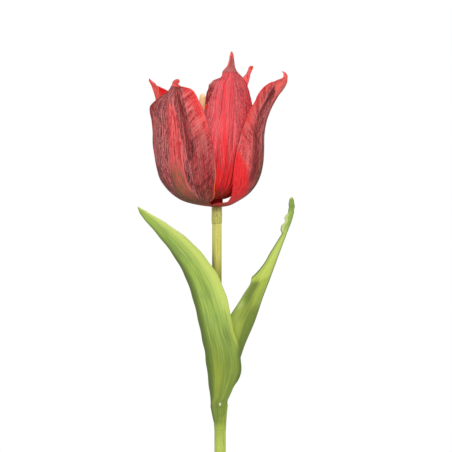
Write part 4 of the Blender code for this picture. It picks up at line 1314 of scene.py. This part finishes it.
# The studio: a white floor, a wide white world and one soft lamp in front, above and to the right. The
# camera looks level at the flower from three metres away and takes in the head, the leaves and some stem.
CAMERA_DISTANCE = 3.0
VIEW_WIDTH = 235.04 * MM
VIEW_MIDDLE = Vector((3.07, 0, 309.52)) * MM
SENSOR_WIDTH = 36.0
FLOOR_RADIUS = 2.0
FLOOR_SEGMENTS = 96
FLOOR_WHITE = (0.9, 0.9, 0.9, 1)
FLOOR_GLOW = 0.3
SKY_LIGHT = 0.62
LAMP_PLACE = Vector((0.2, -1.9, 1.3))
LAMP_SIZE = 0.9
LAMP_POWER = 22.0

camera_data = bpy.data.cameras.new("camera")
camera_data.sensor_width = SENSOR_WIDTH
camera_data.lens = SENSOR_WIDTH * CAMERA_DISTANCE / VIEW_WIDTH
camera = linked("camera", camera_data)
camera.location = VIEW_MIDDLE - Vector((0, CAMERA_DISTANCE, 0))
camera.rotation_euler = (math.radians(90), 0, 0)
bpy.context.scene.camera = camera

lamp_data = bpy.data.lights.new("soft_lamp", "AREA")
lamp_data.shape = "DISK"
lamp_data.size = LAMP_SIZE
lamp_data.energy = LAMP_POWER
lamp = linked("soft_lamp", lamp_data)
lamp.location = LAMP_PLACE
lamp.rotation_euler = (LAMP_PLACE - VIEW_MIDDLE).to_track_quat("Z", "Y").to_euler()

world = bpy.data.worlds.new("white_world")
world.use_nodes = True
sky = Tree(world.node_tree)
camera_ray, glossy_ray, clear_ray = (
    sky.node("ShaderNodeLightPath", output=f"Is {kind} Ray") for kind in ("Camera", "Glossy", "Transmission")
)
straight = sky.math("MAXIMUM", sky.math("MAXIMUM", camera_ray, glossy_ray), clear_ray)
strength = sky.node("ShaderNodeMapRange", {}, {"Value": straight, "To Min": SKY_LIGHT})
background = sky.tree.nodes["Background"]
sky.feed(background.inputs["Color"], (1, 1, 1, 1))
sky.feed(background.inputs["Strength"], strength)
bpy.context.scene.world = world

form = bmesh.new()
bmesh.ops.create_circle(form, cap_ends=True, segments=FLOOR_SEGMENTS, radius=FLOOR_RADIUS)
floor = linked("floor", mesh_of(form, "floor"))
paint = Finish("floor_white", Base_Color=FLOOR_WHITE, Roughness=0.9)
seen = paint.node("ShaderNodeLightPath", output="Is Camera Ray")
glow = paint.node("ShaderNodeEmission", {}, {"Strength": seen * FLOOR_GLOW})
both = paint.node("ShaderNodeAddShader", {}, {0: Field(paint, paint.shader.outputs[0]), 1: glow})
paint.feed(paint.tree.nodes["Material Output"].inputs["Surface"], both)
floor.data.materials.append(paint.material)

bpy.context.scene.view_settings.view_transform = "Standard"
